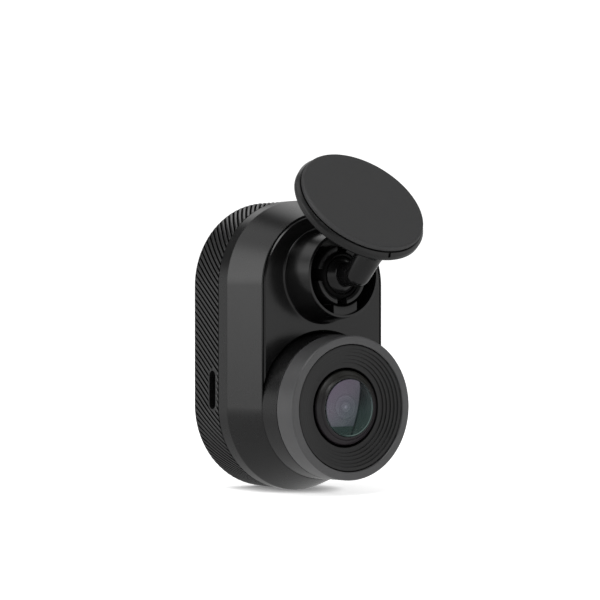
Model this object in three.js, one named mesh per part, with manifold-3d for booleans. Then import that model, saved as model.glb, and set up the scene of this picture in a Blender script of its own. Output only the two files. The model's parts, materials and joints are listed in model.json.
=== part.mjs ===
// Dash camera on an adhesive windscreen ball mount.
// Millimetres, +Z up, the lens looks towards -Y. The design frame used below has X = 0 on the
// mid-plane, Y = 0 where the rear edge rounding starts and Z = 0 at the underside of the body.
// The exported group moves that frame so that its origin is the centre of the adhesive face.
import * as THREE from "three";
import { mergeVertices } from "three/addons/utils/BufferGeometryUtils.js";
import Module from "manifold-3d";

const wasm = await Module();
wasm.setup();
const { Manifold, Mesh: SolidMesh } = wasm;

// ---------------------------------------------------------------- driving dimensions
const BODY_R = 15.65; // half the body's width, and the radius of its two round ends
const BODY_H = 53.0; // body height
const LOW_Z = BODY_R; // centre of the lower round end, which is also the lens axis
const STRAIGHT = BODY_H - 2 * BODY_R; // straight length of the pill outline
const HIGH_Z = LOW_Z + STRAIGHT; // centre of the upper round end

const REAR_Y = 2.13; // outer rear face
const REAR_FILLET = 2.1;
const COVER_FRONT_Y = -7.3; // the rear cover ends here
const HOUSING_REAR_Y = -7.5; // the front housing starts here
const SHOULDER_Y = -10.3; // the front housing starts to taper here
const RIM_Y = -17.95; // front edge of the housing's taper
const RIM_R = 13.2;
const WALL = 1.35; // shell thickness
const PANEL_R = 12.8; // front panel's outline radius
const PANEL_BACK_Y = -17.15;
const PANEL_FACE_Y = -18.15;
const PANEL_BEVEL = 0.4;
const POCKET_R = 12.95; // recess in the housing that takes the panel
const POCKET_Y = -17.0;

const BARREL_R = 13.14; // lens barrel of the housing, at its base
const BARREL_TIP_R = 12.95;
const BARREL_TIP_Y = -22.15;
const BARREL_BORE_R = 11.9;
const RING_FRONT_Y = -26.87; // front face of the lens ring
const RING_R = 12.84;
const RING_BORE_R = 11.34;
const NOSE_R = 6.9; // front of the lens barrel unit

const SOCKET_Z = 39.2; // height of the ball socket's axis
const BALL_Y = -21.5; // ball centre
const BALL_R = 4.0;
const LINER_IN = 4.15;
const LINER_OUT = 4.5;
const COLLET_IN = 4.68;
const COLLET_OUT = 5.25;
const COLLET_TIP_Y = -23.9;
const FINGER_SLOT = 2.1;
const SOCKET_RIM_Y = -24.38;
const SOCKET_RIM_R = 7.61;
const SOCKET_BASE_R = 8.58;
const SOCKET_BORE_R = 7.13;
const KEY_LEFT = -1.75; // ends of the key segment in the socket
const KEY_RIGHT = 3.3;

const DISC_TILT = 43; // degrees above horizontal that the adhesive face looks, forward and up
const PAD_CENTRE = new THREE.Vector3(0, -30.45, 52.35);
const PAD_R = 11.8;
const PAD_T = 0.9;
const PLATE_R = 12.4;
const PLATE_TOP = 1.05; // depths below the adhesive face
const PLATE_BACK = 2.8;
const NECK_R = 2.1;
const POST_R = 2.35;
const ELBOW = new THREE.Vector3(0, -28.5, 39.4);

const USB_Y = -5.4;
const USB_Z = 18.5;
const USB_W = 7.0;
const USB_H = 2.05;
const CARD_Y = -4.9;
const CARD_Z = 27.0;
const BOARD_FRONT_Y = -3.9;
const BOARD_BACK_Y = -2.9;
const BUTTON_Z = 31.0;
const BUTTON_R = 6.2;
const LED_X = 2.2;
const LED_Z = 41.5;
const MIC_Z = 45.6;
const SPEAKER_Z = 13.0;
const GAP = 0.15; // clearance between pieces that meet
const ROUND = 32; // facets round the body, the lens ring and the disc

// ---------------------------------------------------------------- helpers
const rad = (d) => (d * Math.PI) / 180;

// A closed three.js geometry as a manifold solid, whichever way its faces were wound.
function solid(geometry) {
  let g = geometry.index ? geometry.toNonIndexed() : geometry.clone();
  g.deleteAttribute("normal");
  g.deleteAttribute("uv");
  g = mergeVertices(g, 1e-4);
  const index = g.index.array;
  const tri = [];
  for (let i = 0; i < index.length; i += 3) {
    const [a, b, c] = [index[i], index[i + 1], index[i + 2]];
    if (a !== b && b !== c && c !== a) tri.push(a, b, c);
  }
  const make = (t) =>
    new Manifold(
      new SolidMesh({
        numProp: 3,
        vertProperties: new Float32Array(g.attributes.position.array),
        triVerts: new Uint32Array(t),
      }),
    );
  const made = make(tri);
  if (made.volume() > 0) return made;
  const turned = [];
  for (let i = 0; i < tri.length; i += 3) turned.push(tri[i], tri[i + 2], tri[i + 1]);
  return make(turned);
}

function geometryOf(manifold) {
  const m = manifold.getMesh();
  const v = new Float32Array(m.numVert * 3);
  for (let i = 0; i < m.numVert; i++)
    v.set(m.vertProperties.subarray(i * m.numProp, i * m.numProp + 3), i * 3);
  const g = new THREE.BufferGeometry();
  g.setAttribute("position", new THREE.BufferAttribute(v, 3));
  g.setIndex(new THREE.BufferAttribute(new Uint32Array(m.triVerts), 1));
  g.computeVertexNormals();
  return g;
}

const v2 = (pairs) => pairs.map(([r, y]) => new THREE.Vector2(r, y));
const closed = (pairs) => [...pairs, pairs[0]];

// A solid of revolution about a line parallel to Y at (x, z). Its flats lie at the stated radius
// when out is true, so that hulls and bores keep their nominal size.
function turned(pairs, { n = 32, x = 0, z = 0, out = false } = {}) {
  const k = out ? 1 / Math.cos(Math.PI / n) : 1;
  const g = new THREE.LatheGeometry(v2(pairs.map(([r, y]) => [r * k, y])), n, Math.PI / n);
  g.translate(x, 0, z);
  return solid(g);
}

// The same profile carried round the pill outline: a solid of revolution whose upper half is
// drawn up by the outline's straight length.
function pill(pairs, n = ROUND) {
  const k = 1 / Math.cos(Math.PI / n);
  const points = v2(pairs.map(([r, y]) => [r * k, y]));
  const g = new THREE.LatheGeometry(points, n, Math.PI / n);
  const p = g.attributes.position;
  for (let i = 0; i <= n; i++) {
    const up = Math.cos(Math.PI / n + (i * 2 * Math.PI) / n) > 0;
    for (let j = 0; j < points.length; j++) {
      const at = i * points.length + j;
      p.setZ(at, p.getZ(at) + LOW_Z + (up ? STRAIGHT : 0));
    }
  }
  return solid(g);
}

function box(x0, x1, y0, y1, z0, z1) {
  const g = new THREE.BoxGeometry(x1 - x0, y1 - y0, z1 - z0);
  g.translate((x0 + x1) / 2, (y0 + y1) / 2, (z0 + z1) / 2);
  return solid(g);
}

// A round rod along Y from y0 to y1.
function rodY(r, y0, y1, x, z, n = 16) {
  const g = new THREE.CylinderGeometry(r, r, y1 - y0, n);
  g.translate(x, (y0 + y1) / 2, z);
  return solid(g);
}

// A 2-D outline in X and Z, given its thickness along Y.
function slabXZ(shape, y0, y1, curveSegments = 8) {
  const g = new THREE.ExtrudeGeometry(shape, { depth: y1 - y0, bevelEnabled: false, curveSegments });
  g.rotateX(Math.PI / 2);
  g.translate(0, y1, 0);
  return solid(g);
}

// A 2-D outline in Y and Z, given its thickness along X.
function slabYZ(shape, x0, x1, curveSegments = 8) {
  const g = new THREE.ExtrudeGeometry(shape, { depth: x1 - x0, bevelEnabled: false, curveSegments });
  g.applyMatrix4(
    new THREE.Matrix4().makeBasis(
      new THREE.Vector3(0, 1, 0),
      new THREE.Vector3(0, 0, 1),
      new THREE.Vector3(1, 0, 0),
    ),
  );
  g.translate(x0, 0, 0);
  return solid(g);
}

// A slot outline of overall length (second axis) and width (first axis) about a centre.
function slotShape(cu, cv, width, length) {
  const r = width / 2;
  const h = length / 2 - r;
  const s = new THREE.Shape();
  s.moveTo(cu + r, cv - h);
  s.lineTo(cu + r, cv + h);
  s.absarc(cu, cv + h, r, 0, Math.PI, false);
  s.lineTo(cu - r, cv - h);
  s.absarc(cu, cv - h, r, Math.PI, 2 * Math.PI, false);
  return s;
}

function roundedRect(x0, x1, z0, z1, r) {
  const s = new THREE.Shape();
  s.moveTo(x0 + r, z0);
  s.lineTo(x1 - r, z0);
  s.absarc(x1 - r, z0 + r, r, -Math.PI / 2, 0, false);
  s.lineTo(x1, z1 - r);
  s.absarc(x1 - r, z1 - r, r, 0, Math.PI / 2, false);
  s.lineTo(x0 + r, z1);
  s.absarc(x0 + r, z1 - r, r, Math.PI / 2, Math.PI, false);
  s.lineTo(x0, z0 + r);
  s.absarc(x0 + r, z0 + r, r, Math.PI, 1.5 * Math.PI, false);
  return s;
}

const arcPoints = (cr, cy, r, from, to, steps) =>
  Array.from({ length: steps + 1 }, (_, i) => {
    const t = rad(from + ((to - from) * i) / steps);
    return [cr + r * Math.sin(t), cy + r * Math.cos(t)];
  });

// A small screw along Y: the head's top at y, the shank reaching to tip. dir is -1 when the shank
// runs towards -Y and +1 when it runs towards +Y.
function screw({ x, z, y, dir, headR, headT, shankR, length, n = 8 }) {
  const s = (d) => y + dir * d;
  const body = turned(
    [
      [0, s(0)],
      [headR, s(0)],
      [headR, s(headT)],
      [shankR, s(headT)],
      [shankR, s(length - shankR)],
      [0, s(length)],
    ],
    { n, x, z },
  );
  const w = headR * 0.28;
  const a = s(-0.1);
  const b = s(headT * 0.5);
  const [y0, y1] = a < b ? [a, b] : [b, a];
  return body.subtract(box(x - headR * 0.7, x + headR * 0.7, y0, y1, z - w / 2, z + w / 2));
}

// ---------------------------------------------------------------- the scene graph
const camera = new THREE.Group(); // everything in the design frame
camera.position.copy(PAD_CENTRE).negate();

const disc = new THREE.Group(); // the adhesive disc: local +Y is the face's outward normal
disc.position.copy(PAD_CENTRE);
disc.rotation.x = rad(180 - DISC_TILT);
camera.add(disc);

const looks = {
  shell: [0x1d1e20, 0.55, 0],
  cover: [0x17181a, 0.7, 0],
  panel: [0x141517, 0.45, 0],
  ring: [0x2a2b2d, 0.5, 0],
  baffle: [0x161718, 0.6, 0],
  glass: [0x22302e, 0.05, 0],
  inner: [0x0c0d0e, 0.5, 0],
  metal: [0x9a9da2, 0.35, 1],
  gold: [0xb09a5a, 0.4, 1],
  board: [0x14452c, 0.6, 0],
  chip: [0x101113, 0.5, 0],
  pad: [0x1a1b1d, 0.9, 0],
  plate: [0x1c1d1f, 0.5, 0],
  arm: [0x2b2c2e, 0.4, 0],
  liner: [0x0f1011, 0.6, 0],
  cell: [0x5d6a78, 0.5, 0],
  foam: [0x2a2a2c, 0.95, 0],
  clear: [0xd7dde0, 0.15, 0],
  flex: [0x8a5a1e, 0.5, 0],
};

function add(name, manifold, look, parent = camera) {
  const [color, roughness, metalness] = looks[look];
  const mesh = new THREE.Mesh(
    geometryOf(manifold),
    new THREE.MeshStandardMaterial({ color, roughness, metalness }),
  );
  mesh.name = name;
  parent.add(mesh);
  return mesh;
}

// ---------------------------------------------------------------- windscreen mount
// Depths run along the disc's own axis; +Z of the disc's frame points to its lowest edge.
const postDir = new THREE.Vector3(0, -Math.cos(rad(DISC_TILT)), Math.sin(rad(DISC_TILT)));
const discDown = new THREE.Vector3(0, -Math.sin(rad(DISC_TILT)), -Math.cos(rad(DISC_TILT)));
const toElbow = ELBOW.clone().sub(PAD_CENTRE);
const POST_OFF = toElbow.dot(discDown); // the post's distance from the disc's centre
const ELBOW_DEPTH = -toElbow.dot(postDir); // the elbow's depth below the adhesive face

add(
  "adhesive_pad",
  turned(
    [
      [0, 0],
      [PAD_R - 0.35, 0],
      [PAD_R - 0.1, -0.1],
      [PAD_R, -0.35],
      [PAD_R, -PAD_T],
      [0, -PAD_T],
    ],
    { n: ROUND },
  ),
  "pad",
  disc,
);

const plate = turned(
  [
    [0, -PLATE_TOP],
    [PLATE_R - 0.4, -PLATE_TOP],
    [PLATE_R, -PLATE_TOP - 0.5],
    [PLATE_R, -PLATE_BACK + 0.4],
    [PLATE_R - 0.3, -PLATE_BACK],
    [0, -PLATE_BACK],
  ],
  { n: ROUND },
)
  .subtract(rodY(1.0, -PLATE_BACK - 1, -PLATE_TOP + 1, 0, POST_OFF, 16))
  .subtract(rodY(2.3, -PLATE_TOP - 0.85, -PLATE_TOP + 1, 0, POST_OFF, 24))
  .subtract(box(-0.25, 0.25, -PLATE_TOP - 0.75, -PLATE_TOP + 1, PLATE_R - 0.55, PLATE_R + 1));
add("mount_disc", plate, "plate", disc);

// The screw that holds the arm to the disc, its head sunk in the disc under the pad.
const armScrew = screw({
  x: 0,
  z: POST_OFF,
  y: -PLATE_TOP - 0.1,
  dir: -1,
  headR: 2.0,
  headT: 0.6,
  shankR: 0.7,
  length: 6.0,
  n: 12,
});
add("arm_screw", armScrew, "metal", disc);

// Ball, neck, elbow and post in one moulding. The post flares where it meets the disc.
const post = turned(
  [
    [0, -PLATE_BACK - GAP],
    [POST_R + 1.0, -PLATE_BACK - GAP],
    [POST_R + 0.45, -PLATE_BACK - GAP - 0.5],
    [POST_R + 0.15, -PLATE_BACK - GAP - 1.4],
    [POST_R, -PLATE_BACK - GAP - 2.6],
    [POST_R, -ELBOW_DEPTH],
    [0, -ELBOW_DEPTH],
  ],
  { n: 20, z: POST_OFF },
).subtract(rodY(0.95, -PLATE_BACK - 5.0, -PLATE_BACK + 1, 0, POST_OFF, 16));
const postWorld = post.transform(
  new THREE.Matrix4().compose(disc.position, disc.quaternion, new THREE.Vector3(1, 1, 1)).elements,
);
const elbow = new THREE.SphereGeometry(POST_R, 20, 10);
elbow.translate(ELBOW.x, ELBOW.y, ELBOW.z);
const neckDir = ELBOW.clone().sub(new THREE.Vector3(0, BALL_Y, SOCKET_Z));
const neck = new THREE.CylinderGeometry(NECK_R, NECK_R, neckDir.length(), 20);
neck.applyQuaternion(
  new THREE.Quaternion().setFromUnitVectors(new THREE.Vector3(0, 1, 0), neckDir.clone().normalize()),
);
neck.translate(
  0,
  BALL_Y + neckDir.y / 2,
  SOCKET_Z + neckDir.z / 2,
);
const ball = new THREE.SphereGeometry(BALL_R, 20, 12);
ball.rotateX(Math.PI / 2);
ball.translate(0, BALL_Y, SOCKET_Z);
add(
  "ball_arm",
  solid(ball).add(solid(neck)).add(solid(elbow)).add(postWorld),
  "arm",
);

// ---------------------------------------------------------------- ball socket
// A thin cup between ball and fingers, open in front for the neck and at the back.
const LINER_REAR = 30; // angles from the socket axis, at the back and at the front
const LINER_FRONT = 124;
add(
  "socket_liner",
  turned(
    closed([
      ...arcPoints(0, BALL_Y, LINER_OUT, LINER_FRONT, LINER_REAR, 7),
      ...arcPoints(0, BALL_Y, LINER_IN, LINER_REAR, LINER_FRONT, 7),
    ]),
    { n: 20, z: SOCKET_Z },
  ),
  "liner",
);

// The sprung finger ring that grips the ball. Its flange turns behind the panel's web.
const COLLET_BACK_Y = -17.25;
const FLANGE_FRONT_Y = -18.05;
const FLANGE_R = 6.8;
const backAngle = (Math.acos((COLLET_BACK_Y - BALL_Y) / COLLET_IN) * 180) / Math.PI;
const tipAngle = (Math.acos((-23.6 - BALL_Y) / COLLET_IN) * 180) / Math.PI;
let collet = turned(
  closed([
    ...arcPoints(0, BALL_Y, COLLET_IN, backAngle, tipAngle, 7),
    [4.62, COLLET_TIP_Y],
    [COLLET_OUT - 0.1, COLLET_TIP_Y],
    [COLLET_OUT, COLLET_TIP_Y + 0.12],
    [COLLET_OUT, FLANGE_FRONT_Y],
    [FLANGE_R, FLANGE_FRONT_Y],
    [FLANGE_R, COLLET_BACK_Y],
  ]),
  { n: 22, z: SOCKET_Z },
);
const across = COLLET_OUT + 1;
collet = collet
  .subtract(box(-FINGER_SLOT / 2, FINGER_SLOT / 2, -25, -19.6, SOCKET_Z - across, SOCKET_Z + across))
  .subtract(box(-across, across, -25, -19.6, SOCKET_Z - FINGER_SLOT / 2, SOCKET_Z + FINGER_SLOT / 2));
add("socket_collet", collet, "panel");

// Front panel: a pill-topped plate with the socket's boss, cut below to clear the lens barrel.
let panel = pill([
  [0, PANEL_BACK_Y],
  [PANEL_R, PANEL_BACK_Y],
  [PANEL_R, PANEL_FACE_Y + PANEL_BEVEL],
  [PANEL_R - PANEL_BEVEL, PANEL_FACE_Y],
  [0, PANEL_FACE_Y],
]);
const arcR = BARREL_R + GAP + 0.02;
panel = panel
  .add(
    turned(
      [
        [0, PANEL_BACK_Y],
        [SOCKET_BASE_R, PANEL_BACK_Y],
        [SOCKET_BASE_R, PANEL_FACE_Y],
        [SOCKET_RIM_R + 0.02, SOCKET_RIM_Y + 0.15],
        [SOCKET_RIM_R - 0.1, SOCKET_RIM_Y],
        [0, SOCKET_RIM_Y],
      ],
      { n: 24, z: SOCKET_Z },
    ),
  )
  .subtract(
    turned(
      [
        [0, SOCKET_RIM_Y - 1],
        [SOCKET_BORE_R + 0.15, SOCKET_RIM_Y - 1],
        [SOCKET_BORE_R + 0.15, SOCKET_RIM_Y],
        [SOCKET_BORE_R, SOCKET_RIM_Y + 0.2],
        [SOCKET_BORE_R, -19.2],
        [COLLET_OUT + 0.3, -19.2],
        [COLLET_OUT + 0.3, FLANGE_FRONT_Y - GAP],
        [FLANGE_R + 0.2, FLANGE_FRONT_Y - GAP],
        [FLANGE_R + 0.2, PANEL_BACK_Y + 1],
        [0, PANEL_BACK_Y + 1],
      ],
      { n: 24, z: SOCKET_Z },
    ),
  )
  .subtract(
    turned(
      [
        [0, PANEL_BACK_Y + 1],
        [arcR, PANEL_BACK_Y + 1],
        [arcR, PANEL_FACE_Y + PANEL_BEVEL],
        [arcR + PANEL_BEVEL, PANEL_FACE_Y],
        [arcR + PANEL_BEVEL, PANEL_FACE_Y - 0.6],
        [0, PANEL_FACE_Y - 0.6],
      ],
      { n: ROUND, z: LOW_Z, out: true },
    ),
  );
// A key segment along the bottom of the socket, and two screw posts behind the panel.
panel = panel.add(
  rodY(SOCKET_BORE_R + 0.12, SOCKET_RIM_Y + 0.6, -19.0, 0, SOCKET_Z, 24)
    .subtract(rodY(COLLET_OUT + 0.35, SOCKET_RIM_Y, -18, 0, SOCKET_Z, 24))
    .intersect(box(KEY_LEFT, KEY_RIGHT, SOCKET_RIM_Y, -18, SOCKET_Z - 9, SOCKET_Z - 3)),
);
const EAR_X = 9.6;
for (const x of [-EAR_X, EAR_X])
  panel = panel
    .add(rodY(1.3, PANEL_BACK_Y - 0.4, -16.1, x, SOCKET_Z, 16))
    .subtract(rodY(0.6, PANEL_FACE_Y + 0.3, -15, x, SOCKET_Z, 12));
add("front_panel", panel, "panel");

// The plate that keeps the finger ring's flange in the panel, with its two screws.
let retainer = turned(
  closed([
    [2.7, -15.1],
    [7.8, -15.1],
    [7.8, -15.95],
    [6.6, -15.95],
    [6.6, COLLET_BACK_Y + GAP],
    [3.2, COLLET_BACK_Y + GAP],
    [3.2, -15.95],
    [2.7, -15.95],
  ]),
  { n: 20, z: SOCKET_Z },
);
for (const s of [-1, 1])
  retainer = retainer
    .add(s < 0 ? box(-EAR_X, -7.2, -15.95, -15.1, SOCKET_Z - 1.5, SOCKET_Z + 1.5) : box(7.2, EAR_X, -15.95, -15.1, SOCKET_Z - 1.5, SOCKET_Z + 1.5))
    .add(rodY(1.5, -15.95, -15.1, s * EAR_X, SOCKET_Z, 16))
    .subtract(rodY(0.65, -17, -14, s * EAR_X, SOCKET_Z, 12));
add("socket_retainer", retainer, "metal");
for (const [name, s] of [
  ["retainer_screw_left", -1],
  ["retainer_screw_right", 1],
])
  add(
    name,
    screw({ x: s * EAR_X, z: SOCKET_Z, y: -14.4, dir: -1, headR: 1.2, headT: 0.55, shankR: 0.45, length: 3.2 }),
    "metal",
  );

// ---------------------------------------------------------------- shells
const POSTS = [
  [-9.5, 44.0],
  [9.5, 44.0],
  [0, 5.0],
];
let cover = pill([
  [0, REAR_Y],
  ...arcPoints(BODY_R - REAR_FILLET, REAR_Y - REAR_FILLET, REAR_FILLET, 0, 90, 4),
  [BODY_R, COVER_FRONT_Y],
  [BODY_R - WALL, COVER_FRONT_Y],
  [BODY_R - WALL, -0.3],
  [BODY_R - WALL - 1.0, REAR_Y - 1.4],
  [0, REAR_Y - 1.4],
]);
for (const [x, z] of POSTS)
  cover = cover
    .add(rodY(1.7, BOARD_BACK_Y + GAP, REAR_Y - 1.2, x, z, 16))
    .subtract(rodY(0.6, BOARD_BACK_Y - 1, -0.1, x, z, 12));
cover = cover
  .subtract(rodY(BUTTON_R + 0.2, 0, REAR_Y + 1, 0, BUTTON_Z, 24))
  .subtract(rodY(0.95, 0, REAR_Y + 1, -LED_X, LED_Z, 16))
  .subtract(rodY(0.95, 0, REAR_Y + 1, LED_X, LED_Z, 16))
  .subtract(rodY(0.5, 0, REAR_Y + 1, 0, MIC_Z, 12))
  .subtract(slabYZ(slotShape(USB_Y, USB_Z, USB_H, USB_W), -BODY_R - 1, -BODY_R + 2.5, 8))
  .subtract(slabYZ(slotShape(CARD_Y, CARD_Z, 1.5, 12.4), BODY_R - 2.5, BODY_R + 1, 6));
for (const z of [SPEAKER_Z - 1.7, SPEAKER_Z, SPEAKER_Z + 1.7]) {
  const slot = new THREE.Shape();
  slot.moveTo(-2.5, z - 0.4);
  slot.lineTo(2.5, z - 0.4);
  slot.absarc(2.5, z, 0.4, -Math.PI / 2, Math.PI / 2, false);
  slot.lineTo(-2.5, z + 0.4);
  slot.absarc(-2.5, z, 0.4, Math.PI / 2, 1.5 * Math.PI, false);
  cover = cover.subtract(slabXZ(slot, 0, REAR_Y + 1, 4));
}
add("rear_cover", cover, "cover");

// The front housing: a tapering shell that steps into the cover, and the lens barrel.
const SHELF_BACK_Y = -17.4;
const SHELF_FRONT_Y = -18.6;
const HOLDER_BOLT_R = 10.7;
const HOLDER_BOLTS = [90, 210, 330].map((a) => [
  HOLDER_BOLT_R * Math.cos(rad(a)),
  LOW_Z + HOLDER_BOLT_R * Math.sin(rad(a)),
]);
let housing = pill(
  closed([
    [BODY_R, HOUSING_REAR_Y],
    [BODY_R, SHOULDER_Y],
    [RIM_R, RIM_Y],
    [POCKET_R, RIM_Y],
    [POCKET_R, POCKET_Y],
    [11.7, POCKET_Y],
    [11.7, -16.2],
    [BODY_R - WALL - 0.2, -9.6],
    [13.3, -8.3],
    [13.3, -6.75],
    [BODY_R - WALL - 0.2, -6.75],
    [BODY_R - WALL - 0.2, HOUSING_REAR_Y],
  ]),
);
housing = housing.add(
  turned(
    closed([
      [BARREL_R, -15.2],
      [BARREL_R, PANEL_FACE_Y],
      [BARREL_TIP_R, BARREL_TIP_Y],
      [BARREL_BORE_R, BARREL_TIP_Y],
      [BARREL_BORE_R, SHELF_FRONT_Y],
      [9.8, SHELF_FRONT_Y],
      [9.8, SHELF_BACK_Y],
      [BARREL_BORE_R, SHELF_BACK_Y],
      [BARREL_BORE_R, -15.2],
    ]),
    { n: ROUND, z: LOW_Z, out: true },
  ),
);
for (const [x, z] of HOLDER_BOLTS) housing = housing.subtract(rodY(0.6, SHELF_FRONT_Y - 1, SHELF_BACK_Y + 1, x, z, 12));
add("front_housing", housing, "shell");

// ---------------------------------------------------------------- lens unit
add(
  "lens_ring",
  turned(
    closed([
      [BARREL_TIP_R, BARREL_TIP_Y - GAP],
      [RING_R, RING_FRONT_Y + 0.25],
      [RING_R - 0.2, RING_FRONT_Y],
      [RING_BORE_R + 0.12, RING_FRONT_Y],
      [RING_BORE_R, RING_FRONT_Y + 0.12],
      [RING_BORE_R, -24.0],
      [10.5, -24.0],
      [10.5, -19.6],
      [BARREL_BORE_R - 0.2, -19.6],
      [BARREL_BORE_R - 0.2, BARREL_TIP_Y - GAP],
    ]),
    { n: ROUND, z: LOW_Z, out: true },
  ),
  "ring",
);

// Stepped light baffle: terraces that go down towards the lens.
const STEPS = [11.15, 10.5, 9.93, 9.32, 8.66, 8.07, 7.1];
const STEP_TOP_Y = -26.55;
const STEP_RISE = 0.3;
const terraces = [];
for (let i = 0; i < STEPS.length - 1; i++)
  terraces.push([STEPS[i], STEP_TOP_Y + i * STEP_RISE], [STEPS[i + 1], STEP_TOP_Y + i * STEP_RISE]);
add(
  "lens_baffle",
  turned(closed([...terraces, [7.1, -24.2], [11.15, -24.2]]), { n: 26, z: LOW_Z }),
  "baffle",
);

add(
  "lens_retainer",
  turned(
    closed([
      [NOSE_R - 0.05, -25.35],
      [NOSE_R - 0.05, -25.5],
      [6.3, -25.72],
      [5.75, -26.02],
      [5.4, -26.05],
      [5.36, -25.35],
    ]),
    { n: 20, z: LOW_Z },
  ),
  "inner",
);
const dome = (edge, apex, steps, y0) =>
  Array.from({ length: steps + 1 }, (_, i) => {
    const x = (edge * i) / steps;
    const R = (edge * edge + apex * apex) / (2 * Math.abs(apex));
    return [x, y0 - Math.sign(apex) * (Math.sqrt(R * R - x * x) - Math.sqrt(R * R - edge * edge))];
  });
add(
  "front_lens",
  turned(
    [
      ...dome(5.15, 0.75, 5, -25.95),
      [5.15, -25.2],
      [5.55, -25.2],
      [5.55, -23.6],
      [4.6, -23.6],
      ...dome(4.2, 1.1, 3, -23.75).reverse(),
    ],
    { n: 20, z: LOW_Z },
  ),
  "glass",
);
add(
  "lens_barrel",
  turned(
    closed([
      [NOSE_R, -25.2],
      [NOSE_R, -21.2],
      [6.0, -21.2],
      [6.0, -13.3],
      [3.6, -13.3],
      [3.6, -15.6],
      [4.1, -15.6],
      [4.1, -19.0],
      [4.9, -19.0],
      [4.9, -23.4],
      [5.75, -23.4],
      [5.75, -25.2],
    ]),
    { n: 20, z: LOW_Z },
  ),
  "inner",
);
// Inner elements: a meniscus, the aperture stop, a biconvex element and a rear element.
add(
  "lens_element_2",
  turned([...dome(4.7, 0.5, 3, -22.9), [4.7, -21.9], ...dome(4.1, 0.6, 3, -21.9).reverse()], {
    n: 16,
    z: LOW_Z,
  }),
  "glass",
);
add(
  "aperture_stop",
  turned(
    closed([
      [1.9, -21.3],
      [4.72, -21.45],
      [4.72, -21.1],
      [2.3, -21.1],
    ]),
    { n: 16, z: LOW_Z },
  ),
  "inner",
);
add(
  "lens_element_3",
  turned([...dome(4.7, 0.55, 3, -20.3), [4.7, -19.75], ...dome(4.7, -0.5, 3, -19.75).reverse()], {
    n: 16,
    z: LOW_Z,
  }),
  "glass",
);
add(
  "lens_element_4",
  turned([...dome(3.9, 0.3, 3, -18.1), [3.9, -16.9], ...dome(3.9, -0.5, 3, -16.9).reverse()], {
    n: 16,
    z: LOW_Z,
  }),
  "glass",
);

// The lens holder: flange screwed to the housing's shelf, tube for the barrel, square sensor base.
let holder = turned(
  closed([
    [6.2, -20.6],
    [7.6, -20.6],
    [7.6, SHELF_BACK_Y + GAP],
    [11.5, SHELF_BACK_Y + GAP],
    [11.5, -16.1],
    [7.6, -16.1],
    [7.6, -12.9],
    [6.2, -12.9],
  ]),
  { n: 20, z: LOW_Z },
)
  .add(box(-8, 8, -13.0, -11.05, LOW_Z - 8, LOW_Z + 8))
  .subtract(rodY(4.5, -14, -12, 0, LOW_Z, 24))
  .subtract(box(-5.3, 5.3, -12.7, -10, LOW_Z - 5.3, LOW_Z + 5.3));
for (const [x, z] of HOLDER_BOLTS) holder = holder.subtract(rodY(0.65, -18, -15, x, z, 12));
const SENSOR_SCREWS = [
  [-6.8, LOW_Z + 6.8],
  [6.8, LOW_Z - 6.8],
];
for (const [x, z] of SENSOR_SCREWS) holder = holder.subtract(rodY(0.55, -12.7, -10, x, z, 12));
add("lens_holder", holder, "inner");
HOLDER_BOLTS.forEach(([x, z], i) =>
  add(
    "holder_screw_" + (i + 1),
    screw({ x, z, y: -15.45, dir: -1, headR: 1.0, headT: 0.5, shankR: 0.42, length: 2.9 }),
    "metal",
  ),
);
add("ir_filter", slabXZ(roundedRect(-4.8, 4.8, LOW_Z - 4.8, LOW_Z + 4.8, 0.4), -12.55, -12.25, 2), "glass");
add("image_sensor", box(-3.6, 3.6, -11.95, -11.05, LOW_Z - 2.8, LOW_Z + 2.8), "chip");
let sensorBoard = slabXZ(roundedRect(-9, 9, LOW_Z - 9, LOW_Z + 9, 1.2), -10.9, -9.9, 3);
for (const [x, z] of SENSOR_SCREWS) sensorBoard = sensorBoard.subtract(rodY(0.6, -12, -9, x, z, 12));
add("sensor_board", sensorBoard, "board");
SENSOR_SCREWS.forEach(([x, z], i) =>
  add(
    "sensor_screw_" + (i + 1),
    screw({ x, z, y: -9.25, dir: -1, headR: 1.0, headT: 0.5, shankR: 0.4, length: 3.2 }),
    "metal",
  ),
);

// Flexible circuit from the sensor board to the main board, folded once.
const FOLD_Z = 10.0;
const yA = -9.75; // against the sensor board
const yB = BOARD_FRONT_Y - GAP; // against the main board
const fold = new THREE.Shape();
const midY = (yA + yB) / 2;
const rOut = (yB - yA) / 2;
fold.moveTo(yB, FOLD_Z + 4);
fold.lineTo(yB, FOLD_Z);
fold.absarc(midY, FOLD_Z, rOut, 0, -Math.PI, true);
fold.lineTo(yA, FOLD_Z + 3);
fold.lineTo(yA + 0.2, FOLD_Z + 3);
fold.lineTo(yA + 0.2, FOLD_Z);
fold.absarc(midY, FOLD_Z, rOut - 0.2, -Math.PI, 0, false);
fold.lineTo(yB - 0.2, FOLD_Z + 4);
add("sensor_flex", slabYZ(fold, -3, 3, 8), "flex");

// ---------------------------------------------------------------- electronics
let board = pill(
  [
    [0, BOARD_BACK_Y],
    [13.1, BOARD_BACK_Y],
    [13.1, BOARD_FRONT_Y],
    [0, BOARD_FRONT_Y],
  ],
  32,
);
for (const [x, z] of POSTS) board = board.subtract(rodY(0.75, -5, -2, x, z, 12));
add("main_board", board, "board");
POSTS.forEach(([x, z], i) =>
  add(
    "board_screw_" + (i + 1),
    screw({ x, z, y: BOARD_FRONT_Y - GAP - 0.55, dir: 1, headR: 1.25, headT: 0.55, shankR: 0.45, length: 3.4 }),
    "metal",
  ),
);

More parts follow.
